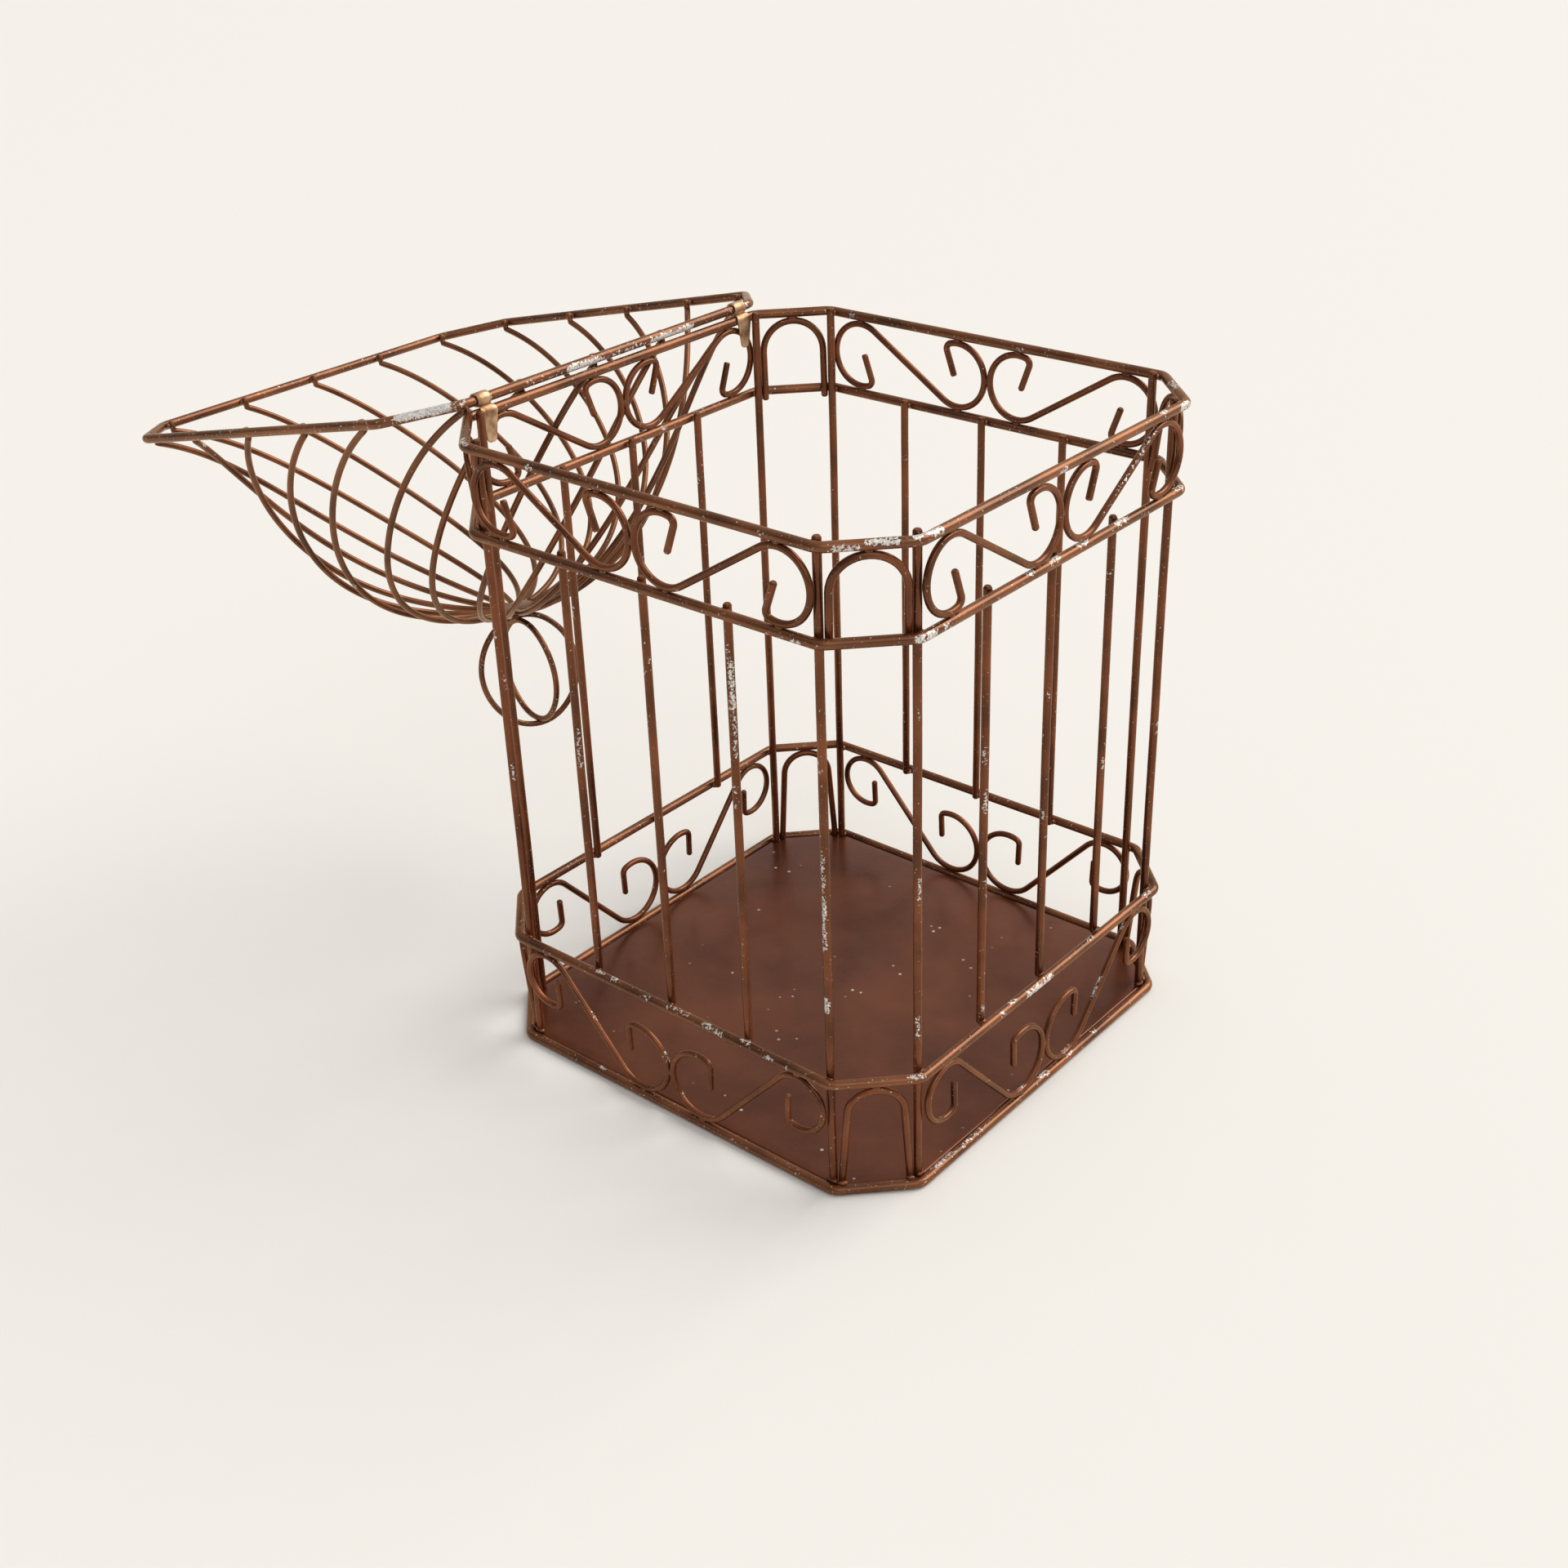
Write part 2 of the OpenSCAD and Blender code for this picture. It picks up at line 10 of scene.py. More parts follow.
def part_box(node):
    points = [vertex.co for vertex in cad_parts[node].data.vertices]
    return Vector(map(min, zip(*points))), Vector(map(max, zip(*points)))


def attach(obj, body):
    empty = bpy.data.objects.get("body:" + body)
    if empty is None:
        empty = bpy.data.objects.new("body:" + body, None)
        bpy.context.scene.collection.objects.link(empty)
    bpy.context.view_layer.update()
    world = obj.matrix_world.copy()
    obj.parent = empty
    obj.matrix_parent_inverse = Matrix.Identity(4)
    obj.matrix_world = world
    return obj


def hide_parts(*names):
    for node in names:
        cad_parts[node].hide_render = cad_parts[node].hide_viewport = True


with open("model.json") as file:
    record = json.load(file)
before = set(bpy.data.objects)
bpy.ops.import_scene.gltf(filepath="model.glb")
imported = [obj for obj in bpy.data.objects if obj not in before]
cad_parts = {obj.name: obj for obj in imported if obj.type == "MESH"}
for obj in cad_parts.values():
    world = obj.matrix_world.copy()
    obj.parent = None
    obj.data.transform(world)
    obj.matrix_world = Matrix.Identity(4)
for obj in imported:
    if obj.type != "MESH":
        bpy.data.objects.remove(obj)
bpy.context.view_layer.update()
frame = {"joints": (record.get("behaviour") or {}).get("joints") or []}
print("stage: frame loaded")

scene = bpy.context.scene
mm = 0.001
sides = ("front", "right", "back", "left")
corners = ("front_right", "back_right", "back_left", "front_left")
postNames = (
    ("post_front_left", "post_front_right"),
    ("post_right_front", "post_right_back"),
    ("post_back_right", "post_back_left"),
    ("post_left_back", "post_left_front"),
)


# ---- sizes that come from the frame ----

def boxOf(node):
    low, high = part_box(node)
    return Vector(low), Vector(high)


def middle(node):
    low, high = boxOf(node)
    return (low + high) / 2


def sizeOf(node):
    low, high = boxOf(node)
    return high - low


ringWire = sizeOf("bottom_ring").z
halfWide = (sizeOf("bottom_ring").x - ringWire) / 2
ringNames = ("bottom_ring", "lower_band_ring", "upper_band_ring", "top_ring")
ringHeights = {name: middle(name).z for name in ringNames}
lidJoint = frame["joints"][0]
hingeSpot = Vector(lidJoint["pos_m"])
openTurn = math.radians(lidJoint["range_deg"][1])

cage = {
    "cornerCut": 18.2 * mm,      # leg of each cut corner
    "bendRadius": 5 * mm,        # centre line of a ring's bends
    "weldGap": 0.04 * mm,        # between two welded wires
    "bendSteps": 7,
}
bendTake = cage["bendRadius"] * math.tan(math.radians(22.5))
sideHalf = halfWide - cage["cornerCut"] - bendTake
chamferDistance = (2 * halfWide - cage["cornerCut"]) / math.sqrt(2)


def turned(point, degrees):
    return Matrix.Rotation(math.radians(degrees), 4, "Z") @ Vector(point)


# A place drawn on the closed lid, whose ring centre is the origin, seen on the open lid
openLid = (
    Matrix.Translation(hingeSpot)
    @ Matrix.Rotation(-openTurn, 4, "X")
    @ Matrix.Translation((0, -halfWide, 0))
)


# ---- routes of the wires ----

def arcPoints(centre, radius, startAngle, endAngle, steps):
    out = []
    for i in range(steps + 1):
        a = math.radians(startAngle + (endAngle - startAngle) * i / steps)
        out.append(Vector((centre[0] + radius * math.cos(a), centre[1] + radius * math.sin(a))))
    return out


def linePoints(start, end, step=2 * mm):
    count = max(1, round((end - start).length / step))
    return [start.lerp(end, i / count) for i in range(count + 1)]


def joined(stretches):
    out = []
    for stretch in stretches:
        for p in stretch:
            if not out or (p - out[-1]).length > 0.02 * mm:
                out.append(p)
    return out


def octagonPoints(inset=0.0, step=0.9 * mm):
    flat = halfWide - inset
    bend = cage["bendRadius"] - inset
    out = []
    for k in range(4):
        start = Vector((-sideHalf, -flat, 0))
        end = Vector((sideHalf, -flat, 0))
        firstBend = arcPoints((sideHalf, -flat + bend), bend, -90, -45, cage["bendSteps"])
        secondBend = arcPoints((flat - bend, -sideHalf), bend, -45, 0, cage["bendSteps"])
        cut = linePoints(firstBend[-1].to_3d(), secondBend[0].to_3d(), step)
        pieces = joined([
            linePoints(start, end, step),
            [p.to_3d() for p in firstBend],
            cut,
            [p.to_3d() for p in secondBend],
        ])
        out += [turned(p, 90 * k) for p in pieces[:-1]]
    return out


def crossAngle(a, b):
    run = Vector((b[0] - a[0], b[1] - a[1]))
    return math.degrees(math.atan2(run.y, run.x) + math.acos((a[2] + b[2]) / run.length))


def onLoop(loop, degrees):
    a = math.radians(degrees)
    return Vector((loop[0] + loop[2] * math.cos(a), loop[1] + loop[2] * math.sin(a)))


def hookedLoop(loop, startAngle, endAngle, tailAngle, style):
    hookRadius = style["hookRadius"]
    centre = onLoop((loop[0], loop[1], loop[2] - hookRadius), endAngle)
    tail = math.radians(tailAngle)
    tip = centre + hookRadius * Vector((math.sin(tail), -math.cos(tail)))
    end = tip + style["tail"] * Vector((math.cos(tail), math.sin(tail)))
    return joined([
        arcPoints(loop[:2], loop[2], startAngle, endAngle, 34),
        arcPoints(centre, hookRadius, endAngle, tailAngle - 90, 9),
        linePoints(tip, end, 1 * mm),
    ])


def scrollPoints(outer, inner, style):
    left = (-outer[0], outer[1], outer[2])
    right = (-inner[0], inner[1], inner[2])
    a = crossAngle(left, right)
    first = hookedLoop(left, a, 270 + style["hookTurn"], 450 + style["lean"], style)
    second = hookedLoop(right, a + 180, 450 + style["hookTurn"], 630 + style["lean"], style)
    link = linePoints(first[0], second[0], 2 * mm)
    return joined([list(reversed(first)), link, second])


# ---- pieces and their nodes ----

def placed(name, data):
    made = bpy.data.objects.new(name, data)
    scene.collection.objects.link(made)
    return made


def addNode(tree, kind, given=None, **settings):
    # given: a fixed value or another node's output, for each named or numbered input
    made = tree.nodes.new(kind)
    for key, value in settings.items():
        setattr(made, key, value)
    for key, value in (given or {}).items():
        if isinstance(value, bpy.types.NodeSocket):
            tree.links.new(value, made.inputs[key])
        else:
            made.inputs[key].default_value = value
    return made


def newShapeTree(name, sizes):
    # geometry goes in and comes out, and each size is a named input
    tree = bpy.data.node_groups.new(name, "GeometryNodeTree")
    tree.interface.new_socket(name="Geometry", in_out="INPUT", socket_type="NodeSocketGeometry")
    for label, kind, value in sizes:
        item = tree.interface.new_socket(name=label, in_out="INPUT", socket_type="NodeSocket" + kind)
        if value is not None:
            item.default_value = value
    tree.interface.new_socket(name="Geometry", in_out="OUTPUT", socket_type="NodeSocketGeometry")
    return tree, addNode(tree, "NodeGroupInput").outputs


def calculate(tree, operation, *values, kind="ShaderNodeMath"):
    return addNode(tree, kind, dict(enumerate(values)), operation=operation).outputs[0]


def scaled(tree, vector, amount):
    return addNode(tree, "ShaderNodeVectorMath", {0: vector, "Scale": amount}, operation="SCALE").outputs[0]


def named(tree, attribute, kind):
    made = addNode(tree, "GeometryNodeInputNamedAttribute", {"Name": attribute}, data_type=kind)
    return made.outputs["Attribute"]


def seededNoise(tree, scale, seed, detail):
    return addNode(tree, "ShaderNodeTexNoise", {
        "Scale": scale, "W": seed, "Detail": detail,
    }, noise_dimensions="4D").outputs


def paintedShape(tree, shape, material):
    smooth = addNode(tree, "GeometryNodeSetShadeSmooth", {"Geometry": shape})
    real = addNode(tree, "GeometryNodeRealizeInstances", {"Geometry": smooth.outputs["Geometry"]})
    paint = addNode(tree, "GeometryNodeSetMaterial", {
        "Geometry": real.outputs["Geometry"], "Material": material,
    })
    addNode(tree, "NodeGroupOutput", {"Geometry": paint.outputs["Geometry"]})


def makeWireTree():
    tree, given = newShapeTree("roundWire", (
        ("Wire diameter", "Float", 2 * mm), ("Sides", "Int", 12), ("Waver", "Float", 0.1 * mm),
        ("Waver scale", "Float", 22.0), ("Swell", "Float", 0.04), ("Seed", "Float", 1.0),
        ("Material", "Material", None),
    ))
    route = addNode(tree, "GeometryNodeMeshToCurve", {"Mesh": given["Geometry"]})

    # hand-bent wire is never quite straight
    waver = seededNoise(tree, given["Waver scale"], given["Seed"], 1.0)["Color"]
    centred = calculate(tree, "SUBTRACT", waver, (0.5, 0.5, 0.5), kind="ShaderNodeVectorMath")
    bent = addNode(tree, "GeometryNodeSetPosition", {
        "Geometry": route.outputs["Curve"], "Offset": scaled(tree, centred, given["Waver"]),
    })

    # paint lies thicker in some places than in others
    thick = calculate(tree, "SUBTRACT", seededNoise(tree, 170.0, given["Seed"], 2.0)[0], 0.5)
    share = calculate(tree, "MULTIPLY_ADD", thick, given["Swell"], 1.0)
    profile = addNode(tree, "GeometryNodeCurvePrimitiveCircle", {
        "Resolution": given["Sides"], "Radius": calculate(tree, "MULTIPLY", given["Wire diameter"], 0.5),
    }, mode="RADIUS")
    sweep = addNode(tree, "GeometryNodeCurveToMesh", {
        "Curve": bent.outputs["Geometry"], "Profile Curve": profile.outputs["Curve"],
        "Scale": calculate(tree, "MULTIPLY", share, named(tree, "tipShape", "FLOAT")), "Fill Caps": True,
    })
    paintedShape(tree, sweep.outputs["Mesh"], given["Material"])
    return tree


def makeBeadTree():
    tree, given = newShapeTree("weldBeads", (
        ("Lumpiness", "Float", 0.25 * mm), ("Lump scale", "Float", 700.0), ("Seed", "Float", 3.0),
        ("Material", "Material", None),
    ))
    blob = addNode(tree, "GeometryNodeMeshIcoSphere", {"Radius": 1.0, "Subdivisions": 3})
    spread = addNode(tree, "GeometryNodeInstanceOnPoints", {
        "Points": given["Geometry"], "Instance": blob.outputs["Mesh"],
        "Rotation": named(tree, "beadTurn", "FLOAT_VECTOR"), "Scale": named(tree, "beadSize", "FLOAT_VECTOR"),
    })
    real = addNode(tree, "GeometryNodeRealizeInstances", {"Geometry": spread.outputs["Instances"]})
    lumps = calculate(tree, "SUBTRACT", seededNoise(tree, given["Lump scale"], given["Seed"], 2.0)[0], 0.5)
    high = calculate(tree, "MULTIPLY", lumps, given["Lumpiness"])
    lumpy = addNode(tree, "GeometryNodeSetPosition", {
        "Geometry": real.outputs["Geometry"],
        "Offset": scaled(tree, addNode(tree, "GeometryNodeInputNormal").outputs[0], high),
    })
    paintedShape(tree, lumpy.outputs["Geometry"], given["Material"])
    return tree


def runTree(name, mesh, tree, values):
    # the tree's result on a mesh, as a plain mesh piece
    source = placed(name + "_source", mesh)
    modifier = source.modifiers.new("shape", "NODES")
    modifier.node_group = tree
    for item in tree.interface.items_tree:
        if item.item_type == "SOCKET" and item.in_out == "INPUT" and item.name in values:
            modifier[item.identifier] = values[item.name]
    return plainPiece(source, name)


def plainPiece(source, pieceName):
    bpy.context.view_layer.update()
    ready = source.evaluated_get(bpy.context.evaluated_depsgraph_get())
    mesh = bpy.data.meshes.new_from_object(ready)
    mesh.name = pieceName
    bpy.data.objects.remove(source)
    return placed(pieceName, mesh)


def joinRows(bm, rows):
    # walls between rows of vertices that each run round the piece
    for a, b in zip(rows, rows[1:]):
        for i in range(len(a)):
            j = (i + 1) % len(a)
            bm.faces.new((a[i], a[j], b[j], b[i]))


def closeRow(bm, row, place):
    # a fan of faces from a row to one point
    tip = bm.verts.new(place)
    for i in range(len(row)):
        bm.faces.new((row[i], row[(i + 1) % len(row)], tip))


def finishedMesh(bm, name, material):
    bmesh.ops.recalc_face_normals(bm, faces=bm.faces)
    for face in bm.faces:
        face.smooth = True
    mesh = bpy.data.meshes.new(name)
    bm.to_mesh(mesh)
    bm.free()
    mesh.materials.append(material)
    return mesh


wireTree = makeWireTree()
beadTree = makeBeadTree()
seedCount = [0]
wireEnd = {"depth": 0.22, "width": 0.7}  # how a cut end is rounded, as shares of the wire's diameter


def wirePiece(pieceName, routes, diameter, look, closed):
    # one piece from one or more routes; open ends are rounded a little
    points, edges, tips = [], [], []
    endDepth = wireEnd["depth"] * diameter
    for route in routes:
        route = list(route)
        if not closed:
            head = route[0] + (route[1] - route[0]).normalized() * endDepth
            tail = route[-1] + (route[-2] - route[-1]).normalized() * endDepth
            route = [route[0], head] + route[1:-1] + [tail, route[-1]]
        first = len(points)
        points += route
        shape = [1.0] * len(route)
        if not closed:
            shape[0] = shape[-1] = wireEnd["width"]
        tips += shape
        edges += [(first + i, first + i + 1) for i in range(len(route) - 1)]
        if closed:
            edges.append((first + len(route) - 1, first))
    mesh = bpy.data.meshes.new(pieceName + "_route")
    mesh.from_pydata(points, edges, [])
    mesh.attributes.new("tipShape", "FLOAT", "POINT").data.foreach_set("value", tips)
    seedCount[0] += 1
    return runTree(pieceName, mesh, wireTree, {
        "Wire diameter": diameter, "Sides": look["sides"], "Waver": look["waver"],
        "Seed": float(seedCount[0]), "Material": paints[look["paint"]],
    })


# ---- finishes ----

def newMaterial(name):
    material = bpy.data.materials.new(name)
    material.use_nodes = True
    material.node_tree.nodes.clear()
    place = addNode(material.node_tree, "ShaderNodeTexCoord").outputs["Object"]
    return material, material.node_tree, place


def grainNoise(tree, place, scale, detail=2.0, rough=0.5):
    return addNode(tree, "ShaderNodeTexNoise", {
        "Vector": place, "Scale": scale, "Detail": detail, "Roughness": rough,
    }).outputs[0]


def colourRamp(tree, factor, low, lowColour, high, highColour):
    ramp = addNode(tree, "ShaderNodeValToRGB", {"Fac": factor})
    for stop, position, colour in zip(ramp.color_ramp.elements, (low, high), (lowColour, highColour)):
        stop.position = position
        stop.color = (*colour, 1)
    return ramp.outputs["Color"]


def mapRange(tree, value, fromRange, toRange=(0.0, 1.0), kind="LINEAR"):
    return addNode(tree, "ShaderNodeMapRange", {
        "Value": value, "From Min": fromRange[0], "From Max": fromRange[1],
        "To Min": toRange[0], "To Max": toRange[1],
    }, interpolation_type=kind).outputs["Result"]


def mixed(tree, factor, first, second, kind):
    made = addNode(tree, "ShaderNodeMix", {"Factor": factor, "A": first, "B": second}, data_type=kind)
    return made.outputs["Result"]


def bumped(tree, height, strength, distance):
    return addNode(tree, "ShaderNodeBump", {
        "Height": height, "Strength": strength, "Distance": distance,
    }).outputs["Normal"]


def addSkin(tree, values):
    skin = addNode(tree, "ShaderNodeBsdfPrincipled", values)
    addNode(tree, "ShaderNodeOutputMaterial", {"Surface": skin.outputs["BSDF"]})


chipAndGlintLook = {
    "edge": (0.86, 0.90), "grainScale": 1500.0, "dark": (0.42, 0.40, 0.38), "light": (0.90, 0.89, 0.87),
    "rough": 0.5, "step": -0.9,
}


def makePaint(name, look):
    # copper-brown paint on steel wire: mottled, glossy, chipped to bright metal where the piece is worn, and
    # given the same bright metal as a painted highlight where a glint falls
    material, tree, place = newMaterial(name)
    mottle = grainNoise(tree, place, look["mottleScale"], 4.0)
    tones = colourRamp(tree, mottle, 0.34, look["dark"], 0.68, look["light"])

    # grains of the ragged edge of the chips and of the painted glints
    ragged = grainNoise(tree, place, look["grainScale"], 4.0, 0.65)
    wearAndGlintLevel = addNode(tree, "ShaderNodeAttribute", attribute_name="wear_and_glint")
    both = calculate(tree, "ADD", ragged, wearAndGlintLevel.outputs["Fac"])
    # where the level is high the paint gives way to bright bare steel: real chips, and at some listed
    # stretches a painted highlight standing in for a glint
    chipAndGlint = mapRange(tree, both, chipAndGlintLook["edge"], kind="SMOOTHSTEP")
    steelGrain = grainNoise(tree, place, chipAndGlintLook["grainScale"])
    steel = colourRamp(tree, steelGrain, 0.3, chipAndGlintLook["dark"], 0.7, chipAndGlintLook["light"])
    colour = mixed(tree, chipAndGlint, tones, steel, "RGBA")
    gloss = mapRange(tree, mottle, (0.3, 0.7), (look["roughLow"], look["roughHigh"]))
    rough = mixed(tree, chipAndGlint, gloss, chipAndGlintLook["rough"], "FLOAT")

    # orange peel, and the step down into a chip, which the painted glints get too
    peel = grainNoise(tree, place, 620.0, 3.0)
    height = calculate(tree, "MULTIPLY_ADD", chipAndGlint, chipAndGlintLook["step"], peel)
    addSkin(tree, {
        "Base Color": colour, "Roughness": rough,
        "Metallic": look["metallic"], "Specular IOR Level": look["gold"],
        "Specular Tint": (1.0, 0.74, 0.44, 1),  # the gold flake in the paint
        "Coat Weight": look["coat"], "Coat Roughness": 0.2,
        "Normal": bumped(tree, height, look["bump"], 0.12 * mm),
    })
    return material


paintLooks = {
    "copperPaint": {
        "dark": (0.082, 0.020, 0.008), "light": (0.205, 0.058, 0.022),
        "mottleScale": 60.0, "grainScale": 1200.0, "roughLow": 0.21, "roughHigh": 0.35,
        "metallic": 0.62, "gold": 0.9, "coat": 0.1, "bump": 0.28,
    },
    # lighter and more golden than the other wires' paint: a painted sheen for the light the rings catch along
    # their length
    "ringPaintWithSheen": {
        "dark": (0.080, 0.021, 0.009), "light": (0.240, 0.080, 0.032),
        "mottleScale": 45.0, "grainScale": 1100.0, "roughLow": 0.22, "roughHigh": 0.36,
        "metallic": 0.6, "gold": 1.0, "coat": 0.15, "bump": 0.28,
    },
    "domePaint": {
        "dark": (0.086, 0.023, 0.009), "light": (0.225, 0.072, 0.028),
        "mottleScale": 70.0, "grainScale": 1200.0, "roughLow": 0.21, "roughHigh": 0.35,
        "metallic": 0.6, "gold": 1.0, "coat": 0.12, "bump": 0.28,
    },
    "weldPaint": {
        "dark": (0.076, 0.020, 0.009), "light": (0.195, 0.058, 0.024),
        "mottleScale": 220.0, "grainScale": 1200.0, "roughLow": 0.24, "roughHigh": 0.44,
        "metallic": 0.5, "gold": 0.8, "coat": 0.3, "bump": 0.45,
    },
}
paints = {name: makePaint(name, look) for name, look in paintLooks.items()}

# how each kind of wire is painted, how far it wavers, and how worn it is away from its chips
wireLooks = {
    "ring": {"paint": "ringPaintWithSheen", "sides": 16, "waver": 0.1 * mm, "wear_and_glint": 0.22},
    "lidRing": {"paint": "ringPaintWithSheen", "sides": 16, "waver": 0.1 * mm, "wear_and_glint": 0.23},
    "upright": {"paint": "copperPaint", "sides": 12, "waver": 0.3 * mm, "wear_and_glint": 0.2},
    "bent": {"paint": "copperPaint", "sides": 12, "waver": 0.2 * mm, "wear_and_glint": 0.2},
    "dome": {"paint": "domePaint", "sides": 12, "waver": 0.3 * mm, "wear_and_glint": 0.17},
    "finial": {"paint": "domePaint", "sides": 12, "waver": 0.25 * mm, "wear_and_glint": 0.24},
}

floorLook = {
    "dark": (0.083, 0.021, 0.008), "light": (0.182, 0.054, 0.021), "dust": (0.62, 0.55, 0.50, 1),
    "gloss": (0.24, 0.38), "metallic": 0.6, "specular": 0.35, "coat": 0.1, "coatRough": 0.18,
}


def makeFloorPaint():
    material, tree, place = newMaterial("floorPaint")
    cloud = grainNoise(tree, place, 22.0, 6.0, 0.6)
    tones = colourRamp(tree, cloud, 0.3, floorLook["dark"], 0.7, floorLook["light"])

    # dust nibs, in some places only
    speck = addNode(tree, "ShaderNodeTexVoronoi", {"Vector": place, "Scale": 190.0}, feature="F1")
    nib = mapRange(tree, speck.outputs["Distance"], (0.13, 0.07), kind="SMOOTHSTEP")
    some = mapRange(tree, grainNoise(tree, place, 70.0), (0.55, 0.66))
    dusty = calculate(tree, "MULTIPLY", nib, some)
    colour = mixed(tree, dusty, tones, floorLook["dust"], "RGBA")
    peel = grainNoise(tree, place, 420.0, 4.0)
    height = calculate(tree, "MULTIPLY_ADD", dusty, 1.2, peel)
    addSkin(tree, {
        "Base Color": colour,
        "Roughness": mapRange(tree, cloud, (0.3, 0.7), floorLook["gloss"]),
        "Metallic": floorLook["metallic"], "Specular IOR Level": floorLook["specular"],
        "Coat Weight": floorLook["coat"], "Coat Roughness": floorLook["coatRough"],
        "Normal": bumped(tree, height, 0.3, 0.15 * mm),
    })
    return material


def makeClipMetal():
    material, tree, place = newMaterial("clipMetal")
    tarnish = grainNoise(tree, place, 330.0, 5.0)
    addSkin(tree, {
        "Base Color": colourRamp(tree, tarnish, 0.3, (0.24, 0.115, 0.055), 0.66, (0.62, 0.42, 0.25)),
        "Roughness": mapRange(tree, tarnish, (0.0, 1.0), (0.55, 0.3)),
        "Metallic": 0.9,
        "Normal": bumped(tree, tarnish, 0.35, 0.08 * mm),
    })
    return material


floorPaint = makeFloorPaint()
clipMetal = makeClipMetal()
print("stage: finishes made")


# ---- wear and glints: stretches where the paint has chipped, and some where a glint is painted as bright bare metal, a painted highlight, in millimetres ----
# a row ends with the chip's reach and depth: depth 0.3 leaves flecks and 0.5 bares the wire

# on a ring: side, from and to along it, and the angle about the wire, 0 outwards and 90 up
ringWearAndGlints = {
    "top_ring": (
        ("left", 66.5, 64.5, 70, 1.5, 0.43), ("left", 64, 62, 60, 1.5, 0.44),
        ("left", 37.5, 35.5, 0, 1.4, 0.40), ("left", 18.5, 18.5, -20, 1.1, 0.33),
        ("left", -16.5, -18.5, 20, 1.2, 0.30),
        ("left", -46.5, -48, 20, 1.2, 0.33), ("left", -68, -73, -25, 1.8, 0.43),
        ("front", -76.5, -69.5, 45, 1.5, 0.47), ("front", -65, -61, 90, 1.9, 0.48),
        ("front", -60, -56.5, 55, 1.7, 0.43), ("front", -3, -1.5, 0, 1.5, 0.43),
        ("front", 49, 51, 68, 1.4, 0.40), ("front", 59, 62.5, 10, 1.8, 0.47),
        ("front", 80, 74.5, 112, 1.5, 0.40), ("right", -13, -14, 180, 1.1, 0.33),
        ("right", 54.5, 52.5, 157, 1.3, 0.36), ("right", 64, 62, 157, 1.2, 0.34),
    ),
    "upper_band_ring": (
        ("left", -48, -49, -22, 1.2, 0.36), ("left", -52, -52.5, -22, 1.1, 0.33),
        ("left", -55.5, -58, -22, 1.5, 0.38), ("front", -64.5, -60, 0, 1.9, 0.48),
        ("front", -55.5, -53.5, 0, 1.4, 0.40), ("front", -16.5, -15, 68, 1.6, 0.45),
        ("front", -6, -2.5, 68, 1.8, 0.41), ("front", 7.5, 11.5, 80, 1.7, 0.44),
        ("front", 27.5, 32, 80, 1.7, 0.45), ("front", 60, 63, 90, 1.6, 0.43),
        ("back", 16, 16.5, 148, 1.2, 0.37), ("back", 33, 34, 125, 1.2, 0.34),
    ),
    "lower_band_ring": (
        ("left", 28.5, 26.5, 90, 1.4, 0.41), ("left", 22, 20.5, 90, 1.4, 0.41),
        ("left", 7.5, 6, 45, 1.2, 0.37), ("left", -0.5, -9.5, 80, 1.4, 0.34),
        ("left", -16.5, -18.5, 45, 1.4, 0.43),
        ("left", -20.5, -23, 45, 1.6, 0.38), ("left", -31, -33, 90, 1.4, 0.43),
        ("left", -41, -43, 23, 1.2, 0.37), ("left", -48, -49, 0, 1.2, 0.36),
        ("front", -66.5, -64, 65, 1.8, 0.40), ("front", -25.5, -24, 45, 1.2, 0.40),
        ("front", -19.5, -17.5, 90, 1.3, 0.41), ("front", -11.5, 0.5, 12, 1.6, 0.47),
        ("front", 24, 25.5, 90, 1.3, 0.38), ("front", 56.5, 59, 90, 1.6, 0.41),
    ),
    "bottom_ring": (
        ("left", 31, 29.5, 90, 1.3, 0.38), ("front", -58, -48, 112, 1.5, 0.40),
        ("front", -47.5, -33, 68, 1.4, 0.34), ("front", -1.5, 1.5, 90, 1.6, 0.43),
        ("front", 13, 16, 68, 1.3, 0.40), ("front", 28.5, 30, 68, 1.3, 0.38),
    ),
    "lid_ring": (
        ("back", -82, -68.5, -35, 2.2, 0.60), ("back", -68.5, -63, -15, 1.5, 0.36),
        ("back", -56.5, -54.5, -15, 1.5, 0.40), ("back", -41, -21, 10, 1.3, 0.30),
        ("back", -21, -10.5, 33, 1.9, 0.52), ("back", -8.5, 15, 33, 1.4, 0.37),
        ("back", 15, 33, 33, 1.7, 0.50), ("back", 58, 61, -12, 1.6, 0.40),
        ("left", -10.5, -8.5, -58, 1.3, 0.33),
        ("left", 54.5, 55.5, -58, 1.2, 0.33), ("front", -64.5, -64.5, -124, 1.3, 0.33),
    ),
}

